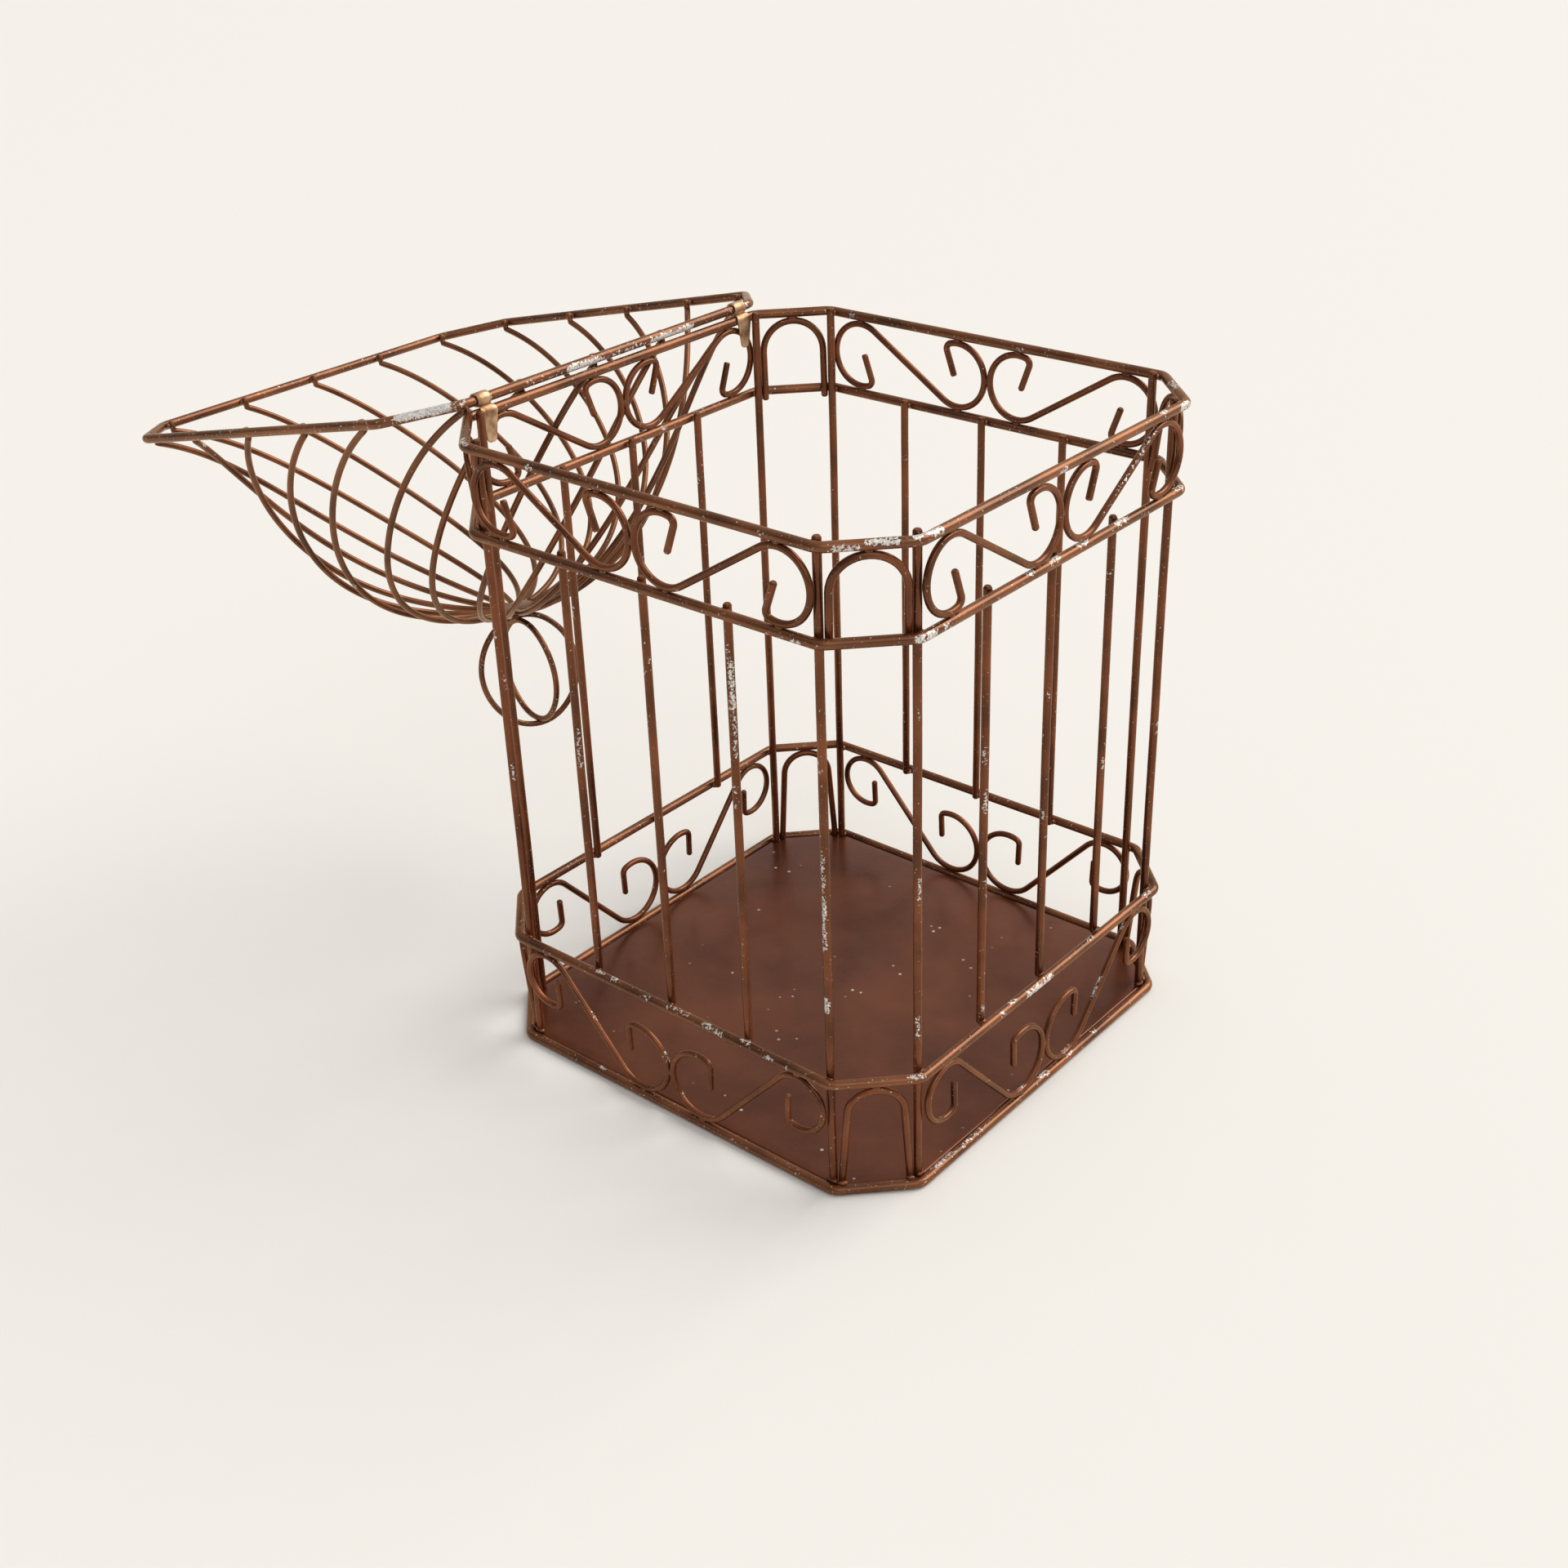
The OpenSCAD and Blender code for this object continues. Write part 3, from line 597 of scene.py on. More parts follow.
# on a post or bar: from and to in height, and the facing in the plan, 180 to the left and 270 to the front
uprightWearAndGlints = {
    "post_left_back": (
        (147, 144, 190, 1.2, 0.34), (133.5, 127, 255, 1.1, 0.31), (101.5, 97.5, 240, 1.2, 0.36),
    ),
    "bars_left_1": ((123, 111, 225, 1.1, 0.37),),
    "bars_left_2": ((155, 153.5, 255, 1.0, 0.36), (152, 149.5, 160, 1.0, 0.36)),
    "bars_left_3": (
        (166, 163.5, 197, 1.2, 0.34), (162, 148.5, 235, 1.4, 0.43), (148, 134, 235, 1.2, 0.36),
        (125.5, 118, 197, 1.1, 0.33),
    ),
    "post_left_front": (
        (144, 139, 180, 1.1, 0.33), (114.5, 102.5, 180, 1.3, 0.37), (100.5, 84, 180, 1.4, 0.40),
        (67, 64, 180, 1.7, 0.47),
    ),
    "post_front_left": (
        (156, 153.5, 225, 1.0, 0.31), (104, 97.5, 235, 1.2, 0.36), (59, 52.5, 225, 1.3, 0.37),
    ),
    "bars_front_1": (
        (131.5, 127, 210, 1.2, 0.37), (117.5, 111.5, 235, 1.2, 0.38), (88.5, 83, 260, 1.1, 0.33),
        (45.5, 41.5, 260, 1.3, 0.38),
    ),
    "bars_front_2": (
        (138, 134, 230, 1.0, 0.34), (121.5, 119, 160, 1.0, 0.36), (97.5, 95.5, 205, 1.1, 0.36),
    ),
    "bars_front_3": ((162, 160.5, 195, 1.2, 0.37), (101.5, 98, 230, 1.0, 0.37)),
    "post_front_right": ((100.5, 97.5, 267, 1.0, 0.36),),
    "post_right_front": ((106.5, 104, 135, 1.0, 0.33),),
    "bars_right_3": ((160.5, 159, 210, 1.0, 0.31), (64, 60, 173, 1.0, 0.31)),
    "bars_back_1": ((157.5, 155, 165, 1.1, 0.37),),
    "bars_back_3": ((163.5, 160.5, 163, 1.0, 0.36), (132.5, 128.5, 180, 1.0, 0.34)),
}

# on a side's scrolls: from and to, each as the place along the side and the height, and how far behind the
# wires' middle plane
scrollWearAndGlints = {
    "front": (
        ((20.5, 183.5), (47, 201), -0.5, 0.9, 0.33), ((-3, 185), (-3.5, 184.5), 0.5, 1.0, 0.33),
        ((28, 17), (32, 21.5), 0.5, 1.2, 0.44), ((44, 34.5), (45, 35.5), 0.5, 1.2, 0.40),
        ((-14.5, 5), (-10.5, 5), 0.2, 1.2, 0.37), ((10.5, 5), (14.5, 5), 0.2, 1.2, 0.37),
    ),
    "left": (
        ((1.5, 20.5), (1, 19.5), 0.3, 1.4, 0.44), ((-4, 9), (-4.5, 8), 0.5, 1.1, 0.37),
        ((33.5, 23), (32, 21.5), 0.4, 1.1, 0.37), ((-16.5, 180), (-16.5, 180), -0.8, 1.1, 0.37),
    ),
}

# on the dome's wires, with the lid open
domeWearAndGlints = (
    ((-77, 200.5, 175.5), (-75, 201.5, 174), 1.2, 0.40),
    ((-71.5, 203.5, 169), (-71.5, 203.5, 169), 1.0, 0.37),
    ((-59.5, 155, 130.5), (-58, 155, 129), 1.2, 0.40),
    ((-40.5, 170.5, 113.5), (-40.5, 170.5, 113.5), 1.2, 0.38),
    ((69.5, 167.5, 148.5), (72, 170.5, 152), 0.9, 0.34),
    ((15, 85.5, 171.5), (19, 85, 176), 0.9, 0.34),
)


def sideSign(side):
    return 1 if sides.index(side) < 2 else -1  # a ring is walked to the right in front and to the left behind


def onRing(side, spot, around):
    # a place on a ring's wire; past the side's end it runs on round the bend and along the cut corner
    along = spot * mm * sideSign(side)
    bendRadius = cage["bendRadius"]
    past = max(0, abs(along) - sideHalf)
    bend = min(past / bendRadius, math.pi / 4)
    cut = (past - bend * bendRadius) / math.sqrt(2)
    x = min(abs(along), sideHalf) + bendRadius * math.sin(bend) + cut
    y = -halfWide + bendRadius * (1 - math.cos(bend)) + cut
    out = Vector((math.copysign(math.sin(bend), along), -math.cos(bend), 0))
    a = math.radians(around)
    rise = out * math.cos(a) + Vector((0, 0, math.sin(a)))
    return turned(Vector((math.copysign(x, along), y, 0)) + rise * ringWire / 2, 90 * sides.index(side))


def onScroll(side, spot, height, behind):
    place = Vector((spot * sideSign(side), behind, height)) * mm - Vector((0, halfWide, 0))
    return turned(place, 90 * sides.index(side))


def readWearAndGlints():
    # every chip and painted glint as its start, end, reach and depth in the cage's own frame
    spots = []
    for node, rows in ringWearAndGlints.items():
        place = openLid if node == "lid_ring" else Matrix.Translation((0, 0, ringHeights[node]))
        for side, start, end, around, reach, depth in rows:
            ends = [place @ onRing(side, spot, around) for spot in (start, end)]
            spots.append((*ends, reach, depth))
    for node, rows in uprightWearAndGlints.items():
        centre = uprightSpots[node]
        radius = (barWire if node.startswith("bars") else postWire) / 2
        for start, end, facing, reach, depth in rows:
            a = math.radians(facing)
            face = centre + Vector((math.cos(a), math.sin(a), 0)) * radius
            ends = [face + Vector((0, 0, height * mm)) for height in (start, end)]
            spots.append((*ends, reach, depth))
    for side, rows in scrollWearAndGlints.items():
        for start, end, behind, reach, depth in rows:
            ends = [onScroll(side, *spot, behind) for spot in (start, end)]
            spots.append((*ends, reach, depth))
    for start, end, reach, depth in domeWearAndGlints:
        spots.append((Vector(start) * mm, Vector(end) * mm, reach, depth))
    return spots


# ---- where the posts and bars stand ----

postWire = sizeOf("post_front_left").x
barWire = sizeOf("bars_front").y
barsPerSide = 3
barPitch = (sizeOf("bars_front").x - barWire) / (barsPerSide - 1)
barDepth = -middle("bars_front").y
uprightSpots = {}
for node in sum(postNames, ()):
    spot = middle(node)
    uprightSpots[node] = Vector((spot.x, spot.y, 0))
for k, side in enumerate(sides):
    for i in range(barsPerSide):
        spot = turned(((i - 1) * barPitch, -barDepth, 0), 90 * k)
        uprightSpots["bars_%s_%d" % (side, i + 1)] = spot
wearAndGlintSpots = readWearAndGlints()


# stores each vertex's level of wear, chips and painted glints
def addWearAndGlints(piece, base):
    mesh = piece.data
    low = Vector(min(v.co[i] for v in mesh.vertices) for i in range(3))
    high = Vector(max(v.co[i] for v in mesh.vertices) for i in range(3))
    near = []
    for start, end, reach, depth in wearAndGlintSpots:
        reach *= mm
        if all(min(start[i], end[i]) - reach < high[i] for i in range(3)) \
                and all(max(start[i], end[i]) + reach > low[i] for i in range(3)):
            run = end - start
            near.append((start, run, max(run.length_squared, 1e-12), reach, depth))
    values = []
    for vertex in mesh.vertices:
        amount = base
        for start, run, square, reach, depth in near:
            share = min(1, max(0, (vertex.co - start).dot(run) / square))
            gone = (vertex.co - start - run * share).length / reach
            if gone < 1:
                amount = max(amount, base + (depth - base) * (1 - gone * gone))
        values.append(amount)
    mesh.attributes.new("wear_and_glint", "FLOAT", "POINT").data.foreach_set("value", values)


def dress(piece, node, body, base):
    addWearAndGlints(piece, base)
    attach(piece, body)
    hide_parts(node)


def dressedWire(node, routes, diameter, lookName, body, closed=False):
    look = wireLooks[lookName]
    piece = wirePiece(node + "_wire", routes, diameter, look, closed)
    dress(piece, node, body, look["wear_and_glint"])


# ---- cage: rings ----

def ringPiece(node):
    route = [p + Vector((0, 0, ringHeights[node])) for p in octagonPoints()]
    dressedWire(node, [route], ringWire, "ring", "cage", closed=True)


for ringName in ringNames:
    ringPiece(ringName)
print("stage: rings bent")


# ---- cage: posts and bars ----

def uprightPiece(node, spots, lowZ, highZ, diameter):
    routes = [linePoints(Vector((x, y, lowZ)), Vector((x, y, highZ)), 0.8 * mm) for x, y in spots]
    dressedWire(node, routes, diameter, "upright", "cage")


for node in sum(postNames, ()):
    low, high = boxOf(node)
    spot = uprightSpots[node]
    uprightPiece(node, [(spot.x, spot.y)], low.z, high.z, high.x - low.x)

barSpots = {}
for side in sides:
    node = "bars_" + side
    low, high = boxOf(node)
    barSpots[side] = [uprightSpots["%s_%d" % (node, i + 1)] for i in range(barsPerSide)]
    uprightPiece(node, [(p.x, p.y) for p in barSpots[side]], low.z, high.z, barWire)
print("stage: posts and bars cut")


# ---- cage: scrolls ----

scrollWire = sizeOf("upper_scrolls_front").y
contact = (ringWire + scrollWire) / 2 + cage["weldGap"]
twinHalf = scrollWire / 2 + cage["weldGap"] / 2
upperScroll = {"hookRadius": 2 * mm, "hookTurn": 16, "tail": 8.5 * mm, "lean": 20, "endGap": 0.3 * mm}
lowerScroll = {
    "hookRadius": 2 * mm, "hookTurn": 16, "tail": 8 * mm, "lean": 2, "endGap": 1.2 * mm,
    "outerRadius": 9.2 * mm, "innerRadius": 11.3 * mm,
}
upperMiddle = (ringHeights["upper_band_ring"] + ringHeights["top_ring"]) / 2
upperRadius = (ringHeights["top_ring"] - ringHeights["upper_band_ring"] - 2 * contact) / 2
upperLoops = (
    (sideHalf - upperScroll["endGap"] - upperRadius, upperMiddle, upperRadius),
    (twinHalf + upperRadius, upperMiddle, upperRadius),
)
lowerLoops = (
    (sideHalf - lowerScroll["endGap"] - lowerScroll["outerRadius"],
     ringHeights["lower_band_ring"] - contact - lowerScroll["outerRadius"], lowerScroll["outerRadius"]),
    (twinHalf + lowerScroll["innerRadius"],
     ringHeights["bottom_ring"] + contact + lowerScroll["innerRadius"], lowerScroll["innerRadius"]),
)


def scrollPiece(node, k, loops, style):
    flat = scrollPoints(loops[0], loops[1], style)
    left = [turned((p.x, -halfWide, p.y), 90 * k) for p in flat]
    right = [turned((-p.x, -halfWide, p.y), 90 * k) for p in flat]
    dressedWire(node, [left, right], scrollWire, "bent", "cage")


for k, side in enumerate(sides):
    scrollPiece("upper_scrolls_" + side, k, upperLoops, upperScroll)
    scrollPiece("lower_scrolls_" + side, k, lowerLoops, lowerScroll)
print("stage: scrolls bent")


# ---- cage: corner arches ----

archWire = 2.3 * mm
archIn = (ringWire + archWire) / 2 + cage["weldGap"]
archPostGap = 0.2 * mm

# the feet stand beside the posts, whose place is taken along and across the cut corner
postSpot = uprightSpots["post_front_right"]
postAlong = abs(postSpot.x + postSpot.y) / math.sqrt(2)
postAcross = chamferDistance - (postSpot.x - postSpot.y) / math.sqrt(2)
footSpace = (sizeOf("post_front_right").x + archWire) / 2 + archPostGap
archFoot = postAlong - math.sqrt(footSpace ** 2 - (postAcross - archIn) ** 2)
upperArch = {"radius": archFoot, "crownRing": "top_ring", "footRing": "upper_band_ring"}
lowerArch = {"radius": 8.3 * mm, "crownRing": "lower_band_ring", "footRing": "bottom_ring"}


def archPiece(node, k, style):
    crownZ = ringHeights[style["crownRing"]] - archIn
    footZ = boxOf(node)[0].z
    lean = math.asin(archIn / (crownZ - ringHeights[style["footRing"]]))
    depth = (crownZ - footZ) / math.cos(lean)
    r = style["radius"]
    reach = Vector((archFoot, depth - r))
    splay = math.degrees(math.acos(min(1, r / reach.length)) - math.atan2(reach.y, reach.x))
    top = arcPoints((0, -r), r, splay, 180 - splay, 20)
    flat = joined([
        linePoints(Vector((archFoot, -depth)), top[0], 2 * mm),
        top,
        linePoints(top[-1], Vector((-archFoot, -depth)), 2 * mm),
    ])
    place = (
        Matrix.Rotation(math.radians(90 * k + 45), 4, "Z")
        @ Matrix.Translation((0, -chamferDistance, crownZ))
        @ Matrix.Rotation(lean, 4, "X")
    )
    route = [place @ Vector((p.x, 0, p.y)) for p in flat]
    dressedWire(node, [route], archWire, "bent", "cage")
    return route


archFeet = []
for k, corner in enumerate(corners):
    for prefix, style in (("upper_arch_", upperArch), ("lower_arch_", lowerArch)):
        route = archPiece(prefix + corner, k, style)
        ring = ringHeights[style["footRing"]]
        feet = [min(route[:len(route) // 2], key=lambda p: abs(p.z - ring)),
                min(route[len(route) // 2:], key=lambda p: abs(p.z - ring))]
        crown = max(route, key=lambda p: p.z)
        archFeet.append((crown, feet, ring, k))
print("stage: corner arches bent")


# ---- cage: floor sheet ----

floorSheet = {
    "thickness": 0.8 * mm, "foldRadius": 1.1 * mm, "edgeRound": 0.15 * mm, "innerRound": 0.2 * mm,
    "sag": 0.35 * mm, "sagReach": 40 * mm, "ripple": 0.12 * mm, "rippleScale": 26.0,
    "rings": 26, "middleReach": 0.985,  # loops on the upper face, and how near they come to its middle
}


def floorPiece():
    low, high = boxOf("base_plate")
    inset = halfWide - high.x
    outline = octagonPoints(inset, 3 * mm)
    bm = bmesh.new()
    top, wall, fold = high.z, floorSheet["thickness"], floorSheet["foldRadius"]

    def loopAt(distance, z, rippled=False):
        ring = []
        for p in outline:
            flat = p.to_2d()
            shrunk = flat * (1 - distance / flat.length)
            lift = 0.0
            if rippled:
                wave = shrunk * floorSheet["rippleScale"]
                lift = floorSheet["ripple"] * noise.noise(Vector((wave.x, wave.y, 0.3)))
                lift = (lift - floorSheet["sag"]) * min(1, distance / floorSheet["sagReach"])
            ring.append(bm.verts.new((shrunk.x, shrunk.y, z + lift)))
        return ring

    # the upper face from its middle out, the fold, the cut edge, and the underside back to the middle
    reach = floorSheet["middleReach"] * min(p.length for p in outline)
    last = floorSheet["rings"] - 1
    loops = [loopAt(fold + (reach - fold) * (1 - i / last), top, True) for i in range(last + 1)]
    for degrees in (22.5, 45, 67.5, 90):
        t = math.radians(degrees)
        loops.append(loopAt(fold - fold * math.sin(t), top - fold + fold * math.cos(t)))
    soft, turn = floorSheet["edgeRound"], floorSheet["innerRound"]
    for distance, z in (
            (0, low.z + soft), (soft, low.z), (wall - soft, low.z), (wall, low.z + soft),
            (wall, top - wall - turn), (wall + turn, top - wall), (reach, top - wall - floorSheet["sag"])):
        loops.append(loopAt(distance, z))
    joinRows(bm, loops)
    for ring in (loops[0], loops[-1]):
        closeRow(bm, ring, (0, 0, sum(v.co.z for v in ring) / len(ring)))
    piece = placed("floor_sheet", finishedMesh(bm, "floor_sheet", floorPaint))
    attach(piece, "cage")
    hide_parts("base_plate")


floorPiece()
print("stage: floor sheet pressed")


# ---- hinge clips: one strip of sheet each, round the lid wire and over the top ring ----

clip = {
    "sheet": 0.6 * mm, "edge": 0.14 * mm, "crowning": 0.06 * mm, "tailEnd": 3.4 * mm, "tailRound": 1.6 * mm,
    "tailTaper": 0.8, "tipShare": 0.45, "waist": 2.8 * mm, "loop": 5.0 * mm, "loopTurn": 352, "widenSteps": 9,
}


def clipPiece(node):
    low, high = boxOf(node)
    centreX = (low.x + high.x) / 2
    width = high.x - low.x
    half = clip["sheet"] / 2
    ringCentre = Vector((halfWide, ringHeights["top_ring"]))
    pinCentre = Vector((hingeSpot.y, hingeSpot.z))
    saddle = ringWire / 2 + cage["weldGap"] + half
    loop = high.z - hingeSpot.z - half - clip["crowning"]
    toLid = math.degrees(math.atan2(pinCentre.y - ringCentre.y, pinCentre.x - ringCentre.x))
    tailX = ringCentre.x - saddle
    tail = linePoints(Vector((tailX, low.z)), Vector((tailX, ringCentre.y)), 0.4 * mm)
    over = arcPoints(ringCentre, saddle, 180, toLid, 18)
    around = arcPoints(pinCentre, loop, toLid - 180, toLid - 180 + clip["loopTurn"], 48)
    bm = bmesh.new()
    rows = []

    def addRow(p, ahead, wide):
        across = Vector((-ahead.y, ahead.x)).normalized()
        row = []
        for layer in (-1, 1):
            # a slight crown across the strip, so that it catches the light
            for place in (-1, -0.5, 0, 0.5, 1):
                lift = clip["crowning"] * (1 - place * place)
                q = p + across * (half * layer - lift)
                row.append(bm.verts.new((centreX + place * layer * wide / 2, q.x, q.y)))
        rows.append(row)

    for i, p in enumerate(tail[:-1]):
        fall = 1 - i / (len(tail) - 1)
        wide = width + (clip["tailEnd"] - width) * fall ** clip["tailTaper"]
        short = (p.y - low.z) / clip["tailRound"]
        if short < 1:
            wide *= clip["tipShare"] + (1 - clip["tipShare"]) * math.sqrt(1 - (1 - short) ** 2)
        addRow(p, Vector((0, 1)), wide)
    for i, p in enumerate(over):
        share = i / (len(over) - 1)
        ahead = over[min(i + 1, len(over) - 1)] - over[max(i - 1, 0)]
        addRow(p, ahead, width + (clip["waist"] - width) * share ** 2)
    for i, p in enumerate(around[1:], 1):
        share = min(1, i / clip["widenSteps"])
        ahead = around[min(i + 1, len(around) - 1)] - around[i - 1]
        addRow(p, ahead, clip["waist"] + (clip["loop"] - clip["waist"]) * share)
    joinRows(bm, rows)
    bm.faces.new(rows[0])
    bm.faces.new(list(reversed(rows[-1])))
    strip = placed(node + "_source", finishedMesh(bm, node + "_strip", clipMetal))
    bevel = strip.modifiers.new("edges", "BEVEL")
    bevel.width = clip["edge"]
    bevel.segments = 2
    bevel.limit_method = "ANGLE"
    bevel.angle_limit = math.radians(50)
    piece = plainPiece(strip, node + "_strip")
    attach(piece, "cage")
    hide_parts(node)


clipPiece("hinge_clip_left")
clipPiece("hinge_clip_right")
print("stage: hinge clips folded")


# ---- lid: ring, swirled dome wires, crown and finial ----

lidRoute = [openLid @ p for p in octagonPoints()]
dressedWire("lid_ring", [lidRoute], ringWire, "lidRing", "lid", closed=True)

dome = {
    "wire": 2.1 * mm, "height": 87 * mm, "twist": 72.0,
    "lowGuide": (0.89, 23 * mm), "highGuide": (0.8, 85 * mm),  # share of the radius, and height
    "roundRadius": 82 * mm, "cornerPull": 4,
    "footDrop": 1.2 * mm, "footRise": 0.5 * mm, "pathRise": 2.2 * mm,
    "perSide": 5, "firstShift": (0, 0, 0, 9 * mm), "middleShift": (0, 6.5 * mm, 8 * mm, 8 * mm),
    "steps": 130, "stepBunching": 1.1,
}
crown = {
    "radius": 7.4 * mm, "thickness": 2.6 * mm, "sink": 0.4 * mm, "wireGap": 0.6 * mm,
    "swell": 1.5, "fluteDepth": 0.03, "bumps": 0.06, "steps": 120, "wear_and_glint": 0.15,
    # the cap's half section, top to underside: share of its radius, share of its height
    "profile": ((0.18, 0.62), (0.4, 0.66), (0.62, 0.62), (0.8, 0.5), (0.92, 0.32), (0.985, 0.1),
                (0.985, -0.1), (0.92, -0.32), (0.8, -0.5), (0.62, -0.6), (0.4, -0.62), (0.18, -0.62)),
}
footIn = (ringWire + dome["wire"]) / 2 + cage["weldGap"]


def domeWire(k, i):
    # the wire's foot, and its directions about the dome's axis at the foot and at the crown
    half = halfWide - cage["cornerCut"]
    last = dome["perSide"] - 1
    shift = dome["firstShift"][k] if i == 0 else 0 if i == last else dome["middleShift"][k]
    along = -half + 2 * half * i / last + shift
    pull = 1 - footIn / halfWide
    return {
        "foot": turned((along * pull, -halfWide * pull, 0), 90 * k),
        "start": 90 * (k - 1) + math.degrees(math.atan2(along, halfWide)),
        "end": 90 * (k - 1) + (i - last / 2) * 90 / dome["perSide"] + dome["twist"],
    }


def domePoint(wire, t):
    # four guides weighted as a Bezier curve's, while the wire turns evenly about the dome's axis
    w = ((1 - t) ** 3, 3 * t * (1 - t) ** 2, 3 * t ** 2 * (1 - t), t ** 3)
    own = (1 - t) ** dome["cornerPull"]
    radius = wire["foot"].length * own + dome["roundRadius"] * (1 - own)
    radius *= w[0] + dome["lowGuide"][0] * w[1] + dome["highGuide"][0] * w[2]
    heights = (dome["pathRise"], dome["lowGuide"][1], dome["highGuide"][1], dome["height"])
    z = sum(height * weight for height, weight in zip(heights, w))
    a = math.radians(wire["start"] + (wire["end"] - wire["start"]) * t)
    return Vector((radius * math.cos(a), radius * math.sin(a), z))


def domeRoute(wire):
    low, high = 0.8, 1.0
    for _ in range(24):
        mid = (low + high) / 2
        if domePoint(wire, mid).to_2d().length > crown["radius"] - crown["wireGap"]:
            low = mid
        else:
            high = mid
    start = [wire["foot"] + Vector((0, 0, z)) for z in (-dome["footDrop"], dome["footRise"])]
    steps = dome["steps"]
    return start + [domePoint(wire, low * (j / steps) ** dome["stepBunching"]) for j in range(steps + 1)]


domeFeet = []
for k, side in enumerate(sides):
    for i in range(dome["perSide"]):
        node = "dome_wire_%s_%d" % (side, i + 1)
        wire = domeWire(k, i)
        domeFeet.append(openLid @ wire["foot"])
        route = [openLid @ p for p in domeRoute(wire)]
        dressedWire(node, [route], dome["wire"], "dome", "lid")


def crownPiece():
    # a pressed cap with a soft rim, fluted where the wires run in
    bm = bmesh.new()
    crownZ = dome["height"] - crown["sink"]
    halfThick = crown["swell"] * crown["thickness"] / 2
    rows = []
    for radial, up in crown["profile"]:
        row = []
        for i in range(crown["steps"]):
            a = 2 * math.pi * i / crown["steps"]
            ahead = Vector((math.cos(a), math.sin(a), 0))
            flute = 1 + crown["fluteDepth"] * radial ** 3 * math.cos(len(domeFeet) * a)
            bumpy = 1 + crown["bumps"] * noise.noise(ahead * radial * 3 + Vector((0, 0, up)))
            place = ahead * crown["radius"] * radial * flute + Vector((0, 0, crownZ + halfThick * up * bumpy))
            row.append(bm.verts.new(openLid @ place))
        rows.append(row)
    joinRows(bm, rows)
    for row, up in ((rows[0], 0.6), (rows[-1], -0.62)):
        closeRow(bm, row, openLid @ Vector((0, 0, crownZ + halfThick * up)))
    piece = placed("crown_cap", finishedMesh(bm, "crown_cap", paints["weldPaint"]))
    dress(piece, "crown_boss", "lid", crown["wear_and_glint"])


crownPiece()

finial = {
    "wire": 2.1 * mm, "width": 36.5 * mm, "height": 44 * mm, "endRadius": 14 * mm, "turn": 33, "crossing": 63,
    "lean": 8,
}


def finialPiece(node, inset, turn):
    # an oval of four arcs that has rolled a little on its round bottom
    halfW = (finial["width"] - finial["wire"]) / 2
    halfH = (finial["height"] - finial["wire"]) / 2
    endR = finial["endRadius"]
    endC = halfH - endR
    sideR = (endC ** 2 + halfW ** 2 - endR ** 2) / (2 * (halfW - endR))
    sideC = sideR - halfW
    split = math.degrees(math.atan2(endC, sideC))
    flat = joined([
        arcPoints((-sideC, 0), sideR - inset, -split, split, 30),
        arcPoints((0, endC), endR - inset, split, 180 - split, 30),
        arcPoints((sideC, 0), sideR - inset, 180 - split, 180 + split, 30),
        arcPoints((0, -endC), endR - inset, 180 + split, 360 - split, 30),
    ])[:-1]
    seat = dome["height"] - crown["sink"] + crown["thickness"] / 2 + cage["weldGap"]
    place = (
        openLid
        @ Matrix.Translation((0, 0, seat + finial["wire"] / 2 + endR))
        @ Matrix.Rotation(math.radians(finial["lean"]), 4, "X")
        @ Matrix.Translation((0, 0, endC))
        @ Matrix.Rotation(math.radians(turn), 4, "Z")
    )
    route = [place @ Vector((p.x, 0, p.y)) for p in flat]
    dressedWire(node, [route], finial["wire"], "finial", "lid", closed=True)


finialPiece("finial_loop_outer", 0, finial["turn"])
finialPiece("finial_loop_inner", finial["wire"] + cage["weldGap"], finial["turn"] + finial["crossing"])
print("stage: lid made")


# ---- weld beads at every joint of two wires ----

beadLook = {
    "long": 1.75 * mm, "across": 1.05 * mm, "lumpiness": 0.5 * mm, "wear_and_glint": 0.22,
    "postSink": 0.72, "barSink": 0.7,  # shares of the ring wire's radius, from its middle out
    "footRise": 1.2 * mm, "footOut": 0.6 * mm, "lowest": 2.6 * mm,
}
dice = random.Random(7)


def beadPiece(pieceName, beads, body):
    # beads: (place, direction of the long axis, scale)
    mesh = bpy.data.meshes.new(pieceName + "_spots")
    mesh.from_pydata([bead[0] for bead in beads], [], [])
    sizes, turns = [], []
    for spot, along, scale in beads:
        rotation = along.to_track_quat("X", "Z").to_euler()
        stretch = scale * dice.uniform(0.85, 1.15)
        sizes += [beadLook["long"] * stretch, beadLook["across"] * scale, beadLook["across"] * scale]
        turns += list(rotation)
    mesh.attributes.new("beadSize", "FLOAT_VECTOR", "POINT").data.foreach_set("vector", sizes)
    mesh.attributes.new("beadTurn", "FLOAT_VECTOR", "POINT").data.foreach_set("vector", turns)
    piece = runTree(pieceName, mesh, beadTree, {
        "Lumpiness": beadLook["lumpiness"], "Material": paints["weldPaint"],
    })
    addWearAndGlints(piece, beadLook["wear_and_glint"])
    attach(piece, body)
    return piece


def ringTouch(spot, ringName, inward, sink):
    return Vector((spot.x, spot.y, ringHeights[ringName])) - inward * ringWire / 2 * sink


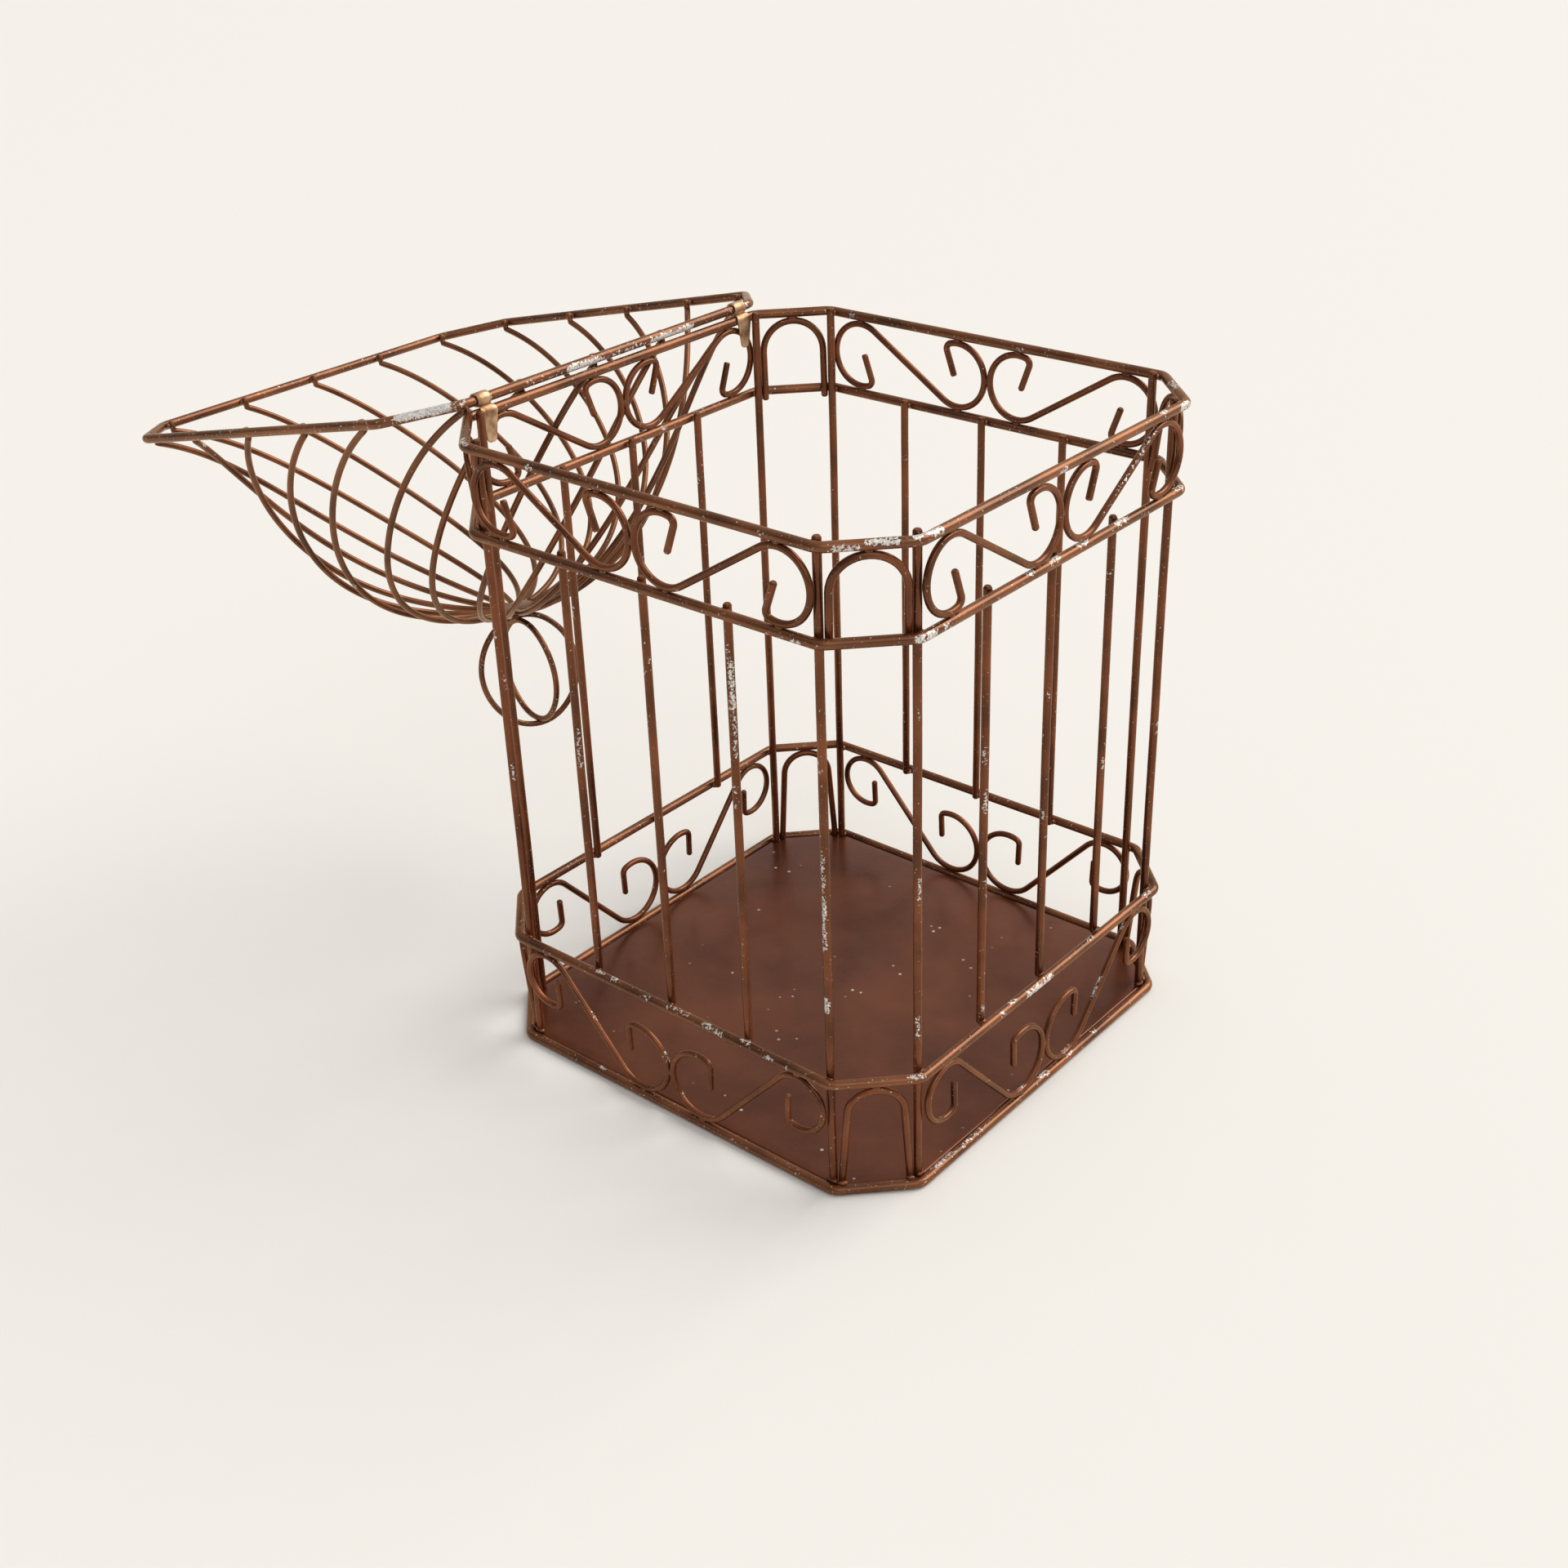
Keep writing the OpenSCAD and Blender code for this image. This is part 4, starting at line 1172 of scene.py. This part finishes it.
cageBeads = []
for k in range(4):
    along = turned((1, 0, 0), 90 * k)
    inward = turned((0, 1, 0), 90 * k)
    flat = turned((0, -halfWide, 0), 90 * k)
    for node in postNames[k]:
        spot = uprightSpots[node]
        for ringName in ringNames[1:]:
            cageBeads.append((ringTouch(spot, ringName, inward, beadLook["postSink"]), along, 1.0))
        foot = Vector((spot.x, spot.y, ringHeights["bottom_ring"] + beadLook["footRise"]))
        cageBeads.append((foot - inward * beadLook["footOut"], along, 1.0))
    for spot in barSpots[sides[k]]:
        for ringName in ("lower_band_ring", "upper_band_ring"):
            cageBeads.append((ringTouch(spot, ringName, inward, beadLook["barSink"]), along, 0.95))
    for mirrored in (-1, 1):
        outer, inner = lowerLoops
        touches = [(loop, up) for loop in upperLoops for up in (-1, 1)] + [(outer, 1), (inner, -1)]
        for loop, up in touches:
            z = loop[1] + up * (loop[2] + scrollWire / 2)
            cageBeads.append((flat + along * mirrored * loop[0] + Vector((0, 0, z)), along, 0.85))
    for loops in (upperLoops, lowerLoops):
        cageBeads.append((flat + Vector((0, 0, loops[1][1])), Vector((0, 0, 1)), 0.75))
for crownSpot, feet, ringZ, k in archFeet:
    along = turned((1, 0, 0), 90 * k + 45)
    inward = turned((0, 1, 0), 90 * k + 45)
    cageBeads.append((crownSpot + Vector((0, 0, archWire / 2)), along, 0.9))
    for foot in feet:
        touch = Vector((foot.x, foot.y, max(ringZ, beadLook["lowest"]))) - inward * archWire / 2
        cageBeads.append((touch, along, 0.85))
beadPiece("cage_weld_beads", cageBeads, "cage")

lidBeads = []
lidCentre = openLid @ Vector((0, 0, 0))
lidUp = (openLid.to_3x3() @ Vector((0, 0, 1))).normalized()
for foot in domeFeet:
    outward = (foot - lidCentre).normalized()
    lidBeads.append((foot + outward * dome["wire"] / 2, lidUp.cross(outward), 0.95))
beadPiece("lid_weld_beads", lidBeads, "lid")
print("stage: weld beads laid")


# ---- floor, light and camera ----

studio = {"floorReach": 9.0, "floorColour": (0.80, 0.79, 0.77, 1)}


def stagePlane():
    reach = studio["floorReach"]
    mesh = bpy.data.meshes.new("studio_floor")
    outline = [(-reach, -reach, 0), (reach, -reach, 0), (reach, reach, 0), (-reach, reach, 0)]
    mesh.from_pydata(outline, [], [(0, 1, 2, 3)])
    plane = placed("studio_floor", mesh)
    material = bpy.data.materials.new("paleFloor")
    material.use_nodes = True
    skin = material.node_tree.nodes["Principled BSDF"]
    skin.inputs["Base Color"].default_value = studio["floorColour"]
    skin.inputs["Roughness"].default_value = 0.75
    skin.inputs["Specular IOR Level"].default_value = 0.2
    mesh.materials.append(material)


stagePlane()


def sunLight(name, toward, angle, strength, colour):
    lamp = bpy.data.lights.new(name, "SUN")
    lamp.angle = math.radians(angle)
    lamp.energy = strength
    lamp.color = colour
    holder = placed(name, lamp)
    holder.rotation_euler = Vector(toward).to_track_quat("Z", "Y").to_euler()


sunLight("windowLight", (0.66, -0.32, 0.68), 46, 2.0, (1.0, 0.95, 0.87))
sunLight("fillLight", (-0.45, -0.62, 0.64), 45, 0.4, (1.0, 0.97, 0.94))


def makeWorld():
    # soft room light: fuller from the window side than from the wall side
    world = bpy.data.worlds.new("studioWorld")
    scene.world = world
    world.use_nodes = True
    tree = world.node_tree
    toward = addNode(tree, "ShaderNodeTexCoord")
    fromWindow = addNode(tree, "ShaderNodeVectorMath", {
        0: toward.outputs["Generated"], 1: (0.72, -0.35, 0.6),
    }, operation="DOT_PRODUCT")
    level = mapRange(tree, fromWindow.outputs["Value"], (-1.0, 1.0))
    fullness = colourRamp(tree, level, 0.1, (0.22, 0.215, 0.21), 0.9, (0.96, 0.95, 0.93))
    room = tree.nodes["Background"]
    tree.links.new(fullness, room.inputs["Color"])
    room.inputs["Strength"].default_value = 0.85


makeWorld()

cameraPlace = {
    "place": (-435.3 * mm, -357.7 * mm, 390.8 * mm),
    "azimuth": -48.99, "elevation": 28.856, "roll": -2.152, "lens": 46.39,
}


def makeCamera():
    data = bpy.data.cameras.new("mainCamera")
    data.lens = cameraPlace["lens"]
    data.sensor_width = 36.0
    data.clip_start = 0.01
    holder = placed("mainCamera", data)
    az = math.radians(cameraPlace["azimuth"])
    el = math.radians(cameraPlace["elevation"])
    roll = math.radians(cameraPlace["roll"])
    back = Vector((math.sin(az) * math.cos(el), -math.cos(az) * math.cos(el), math.sin(el)))
    right = Vector((0, 0, 1)).cross(back).normalized()
    up = back.cross(right)
    tiltedRight = right * math.cos(roll) + up * math.sin(roll)
    tiltedUp = up * math.cos(roll) - right * math.sin(roll)
    turn = Matrix((tiltedRight, tiltedUp, back)).transposed()
    holder.matrix_world = Matrix.Translation(cameraPlace["place"]) @ turn.to_4x4()
    scene.camera = holder


makeCamera()
scene.view_settings.view_transform = "Standard"
print("stage: studio ready")
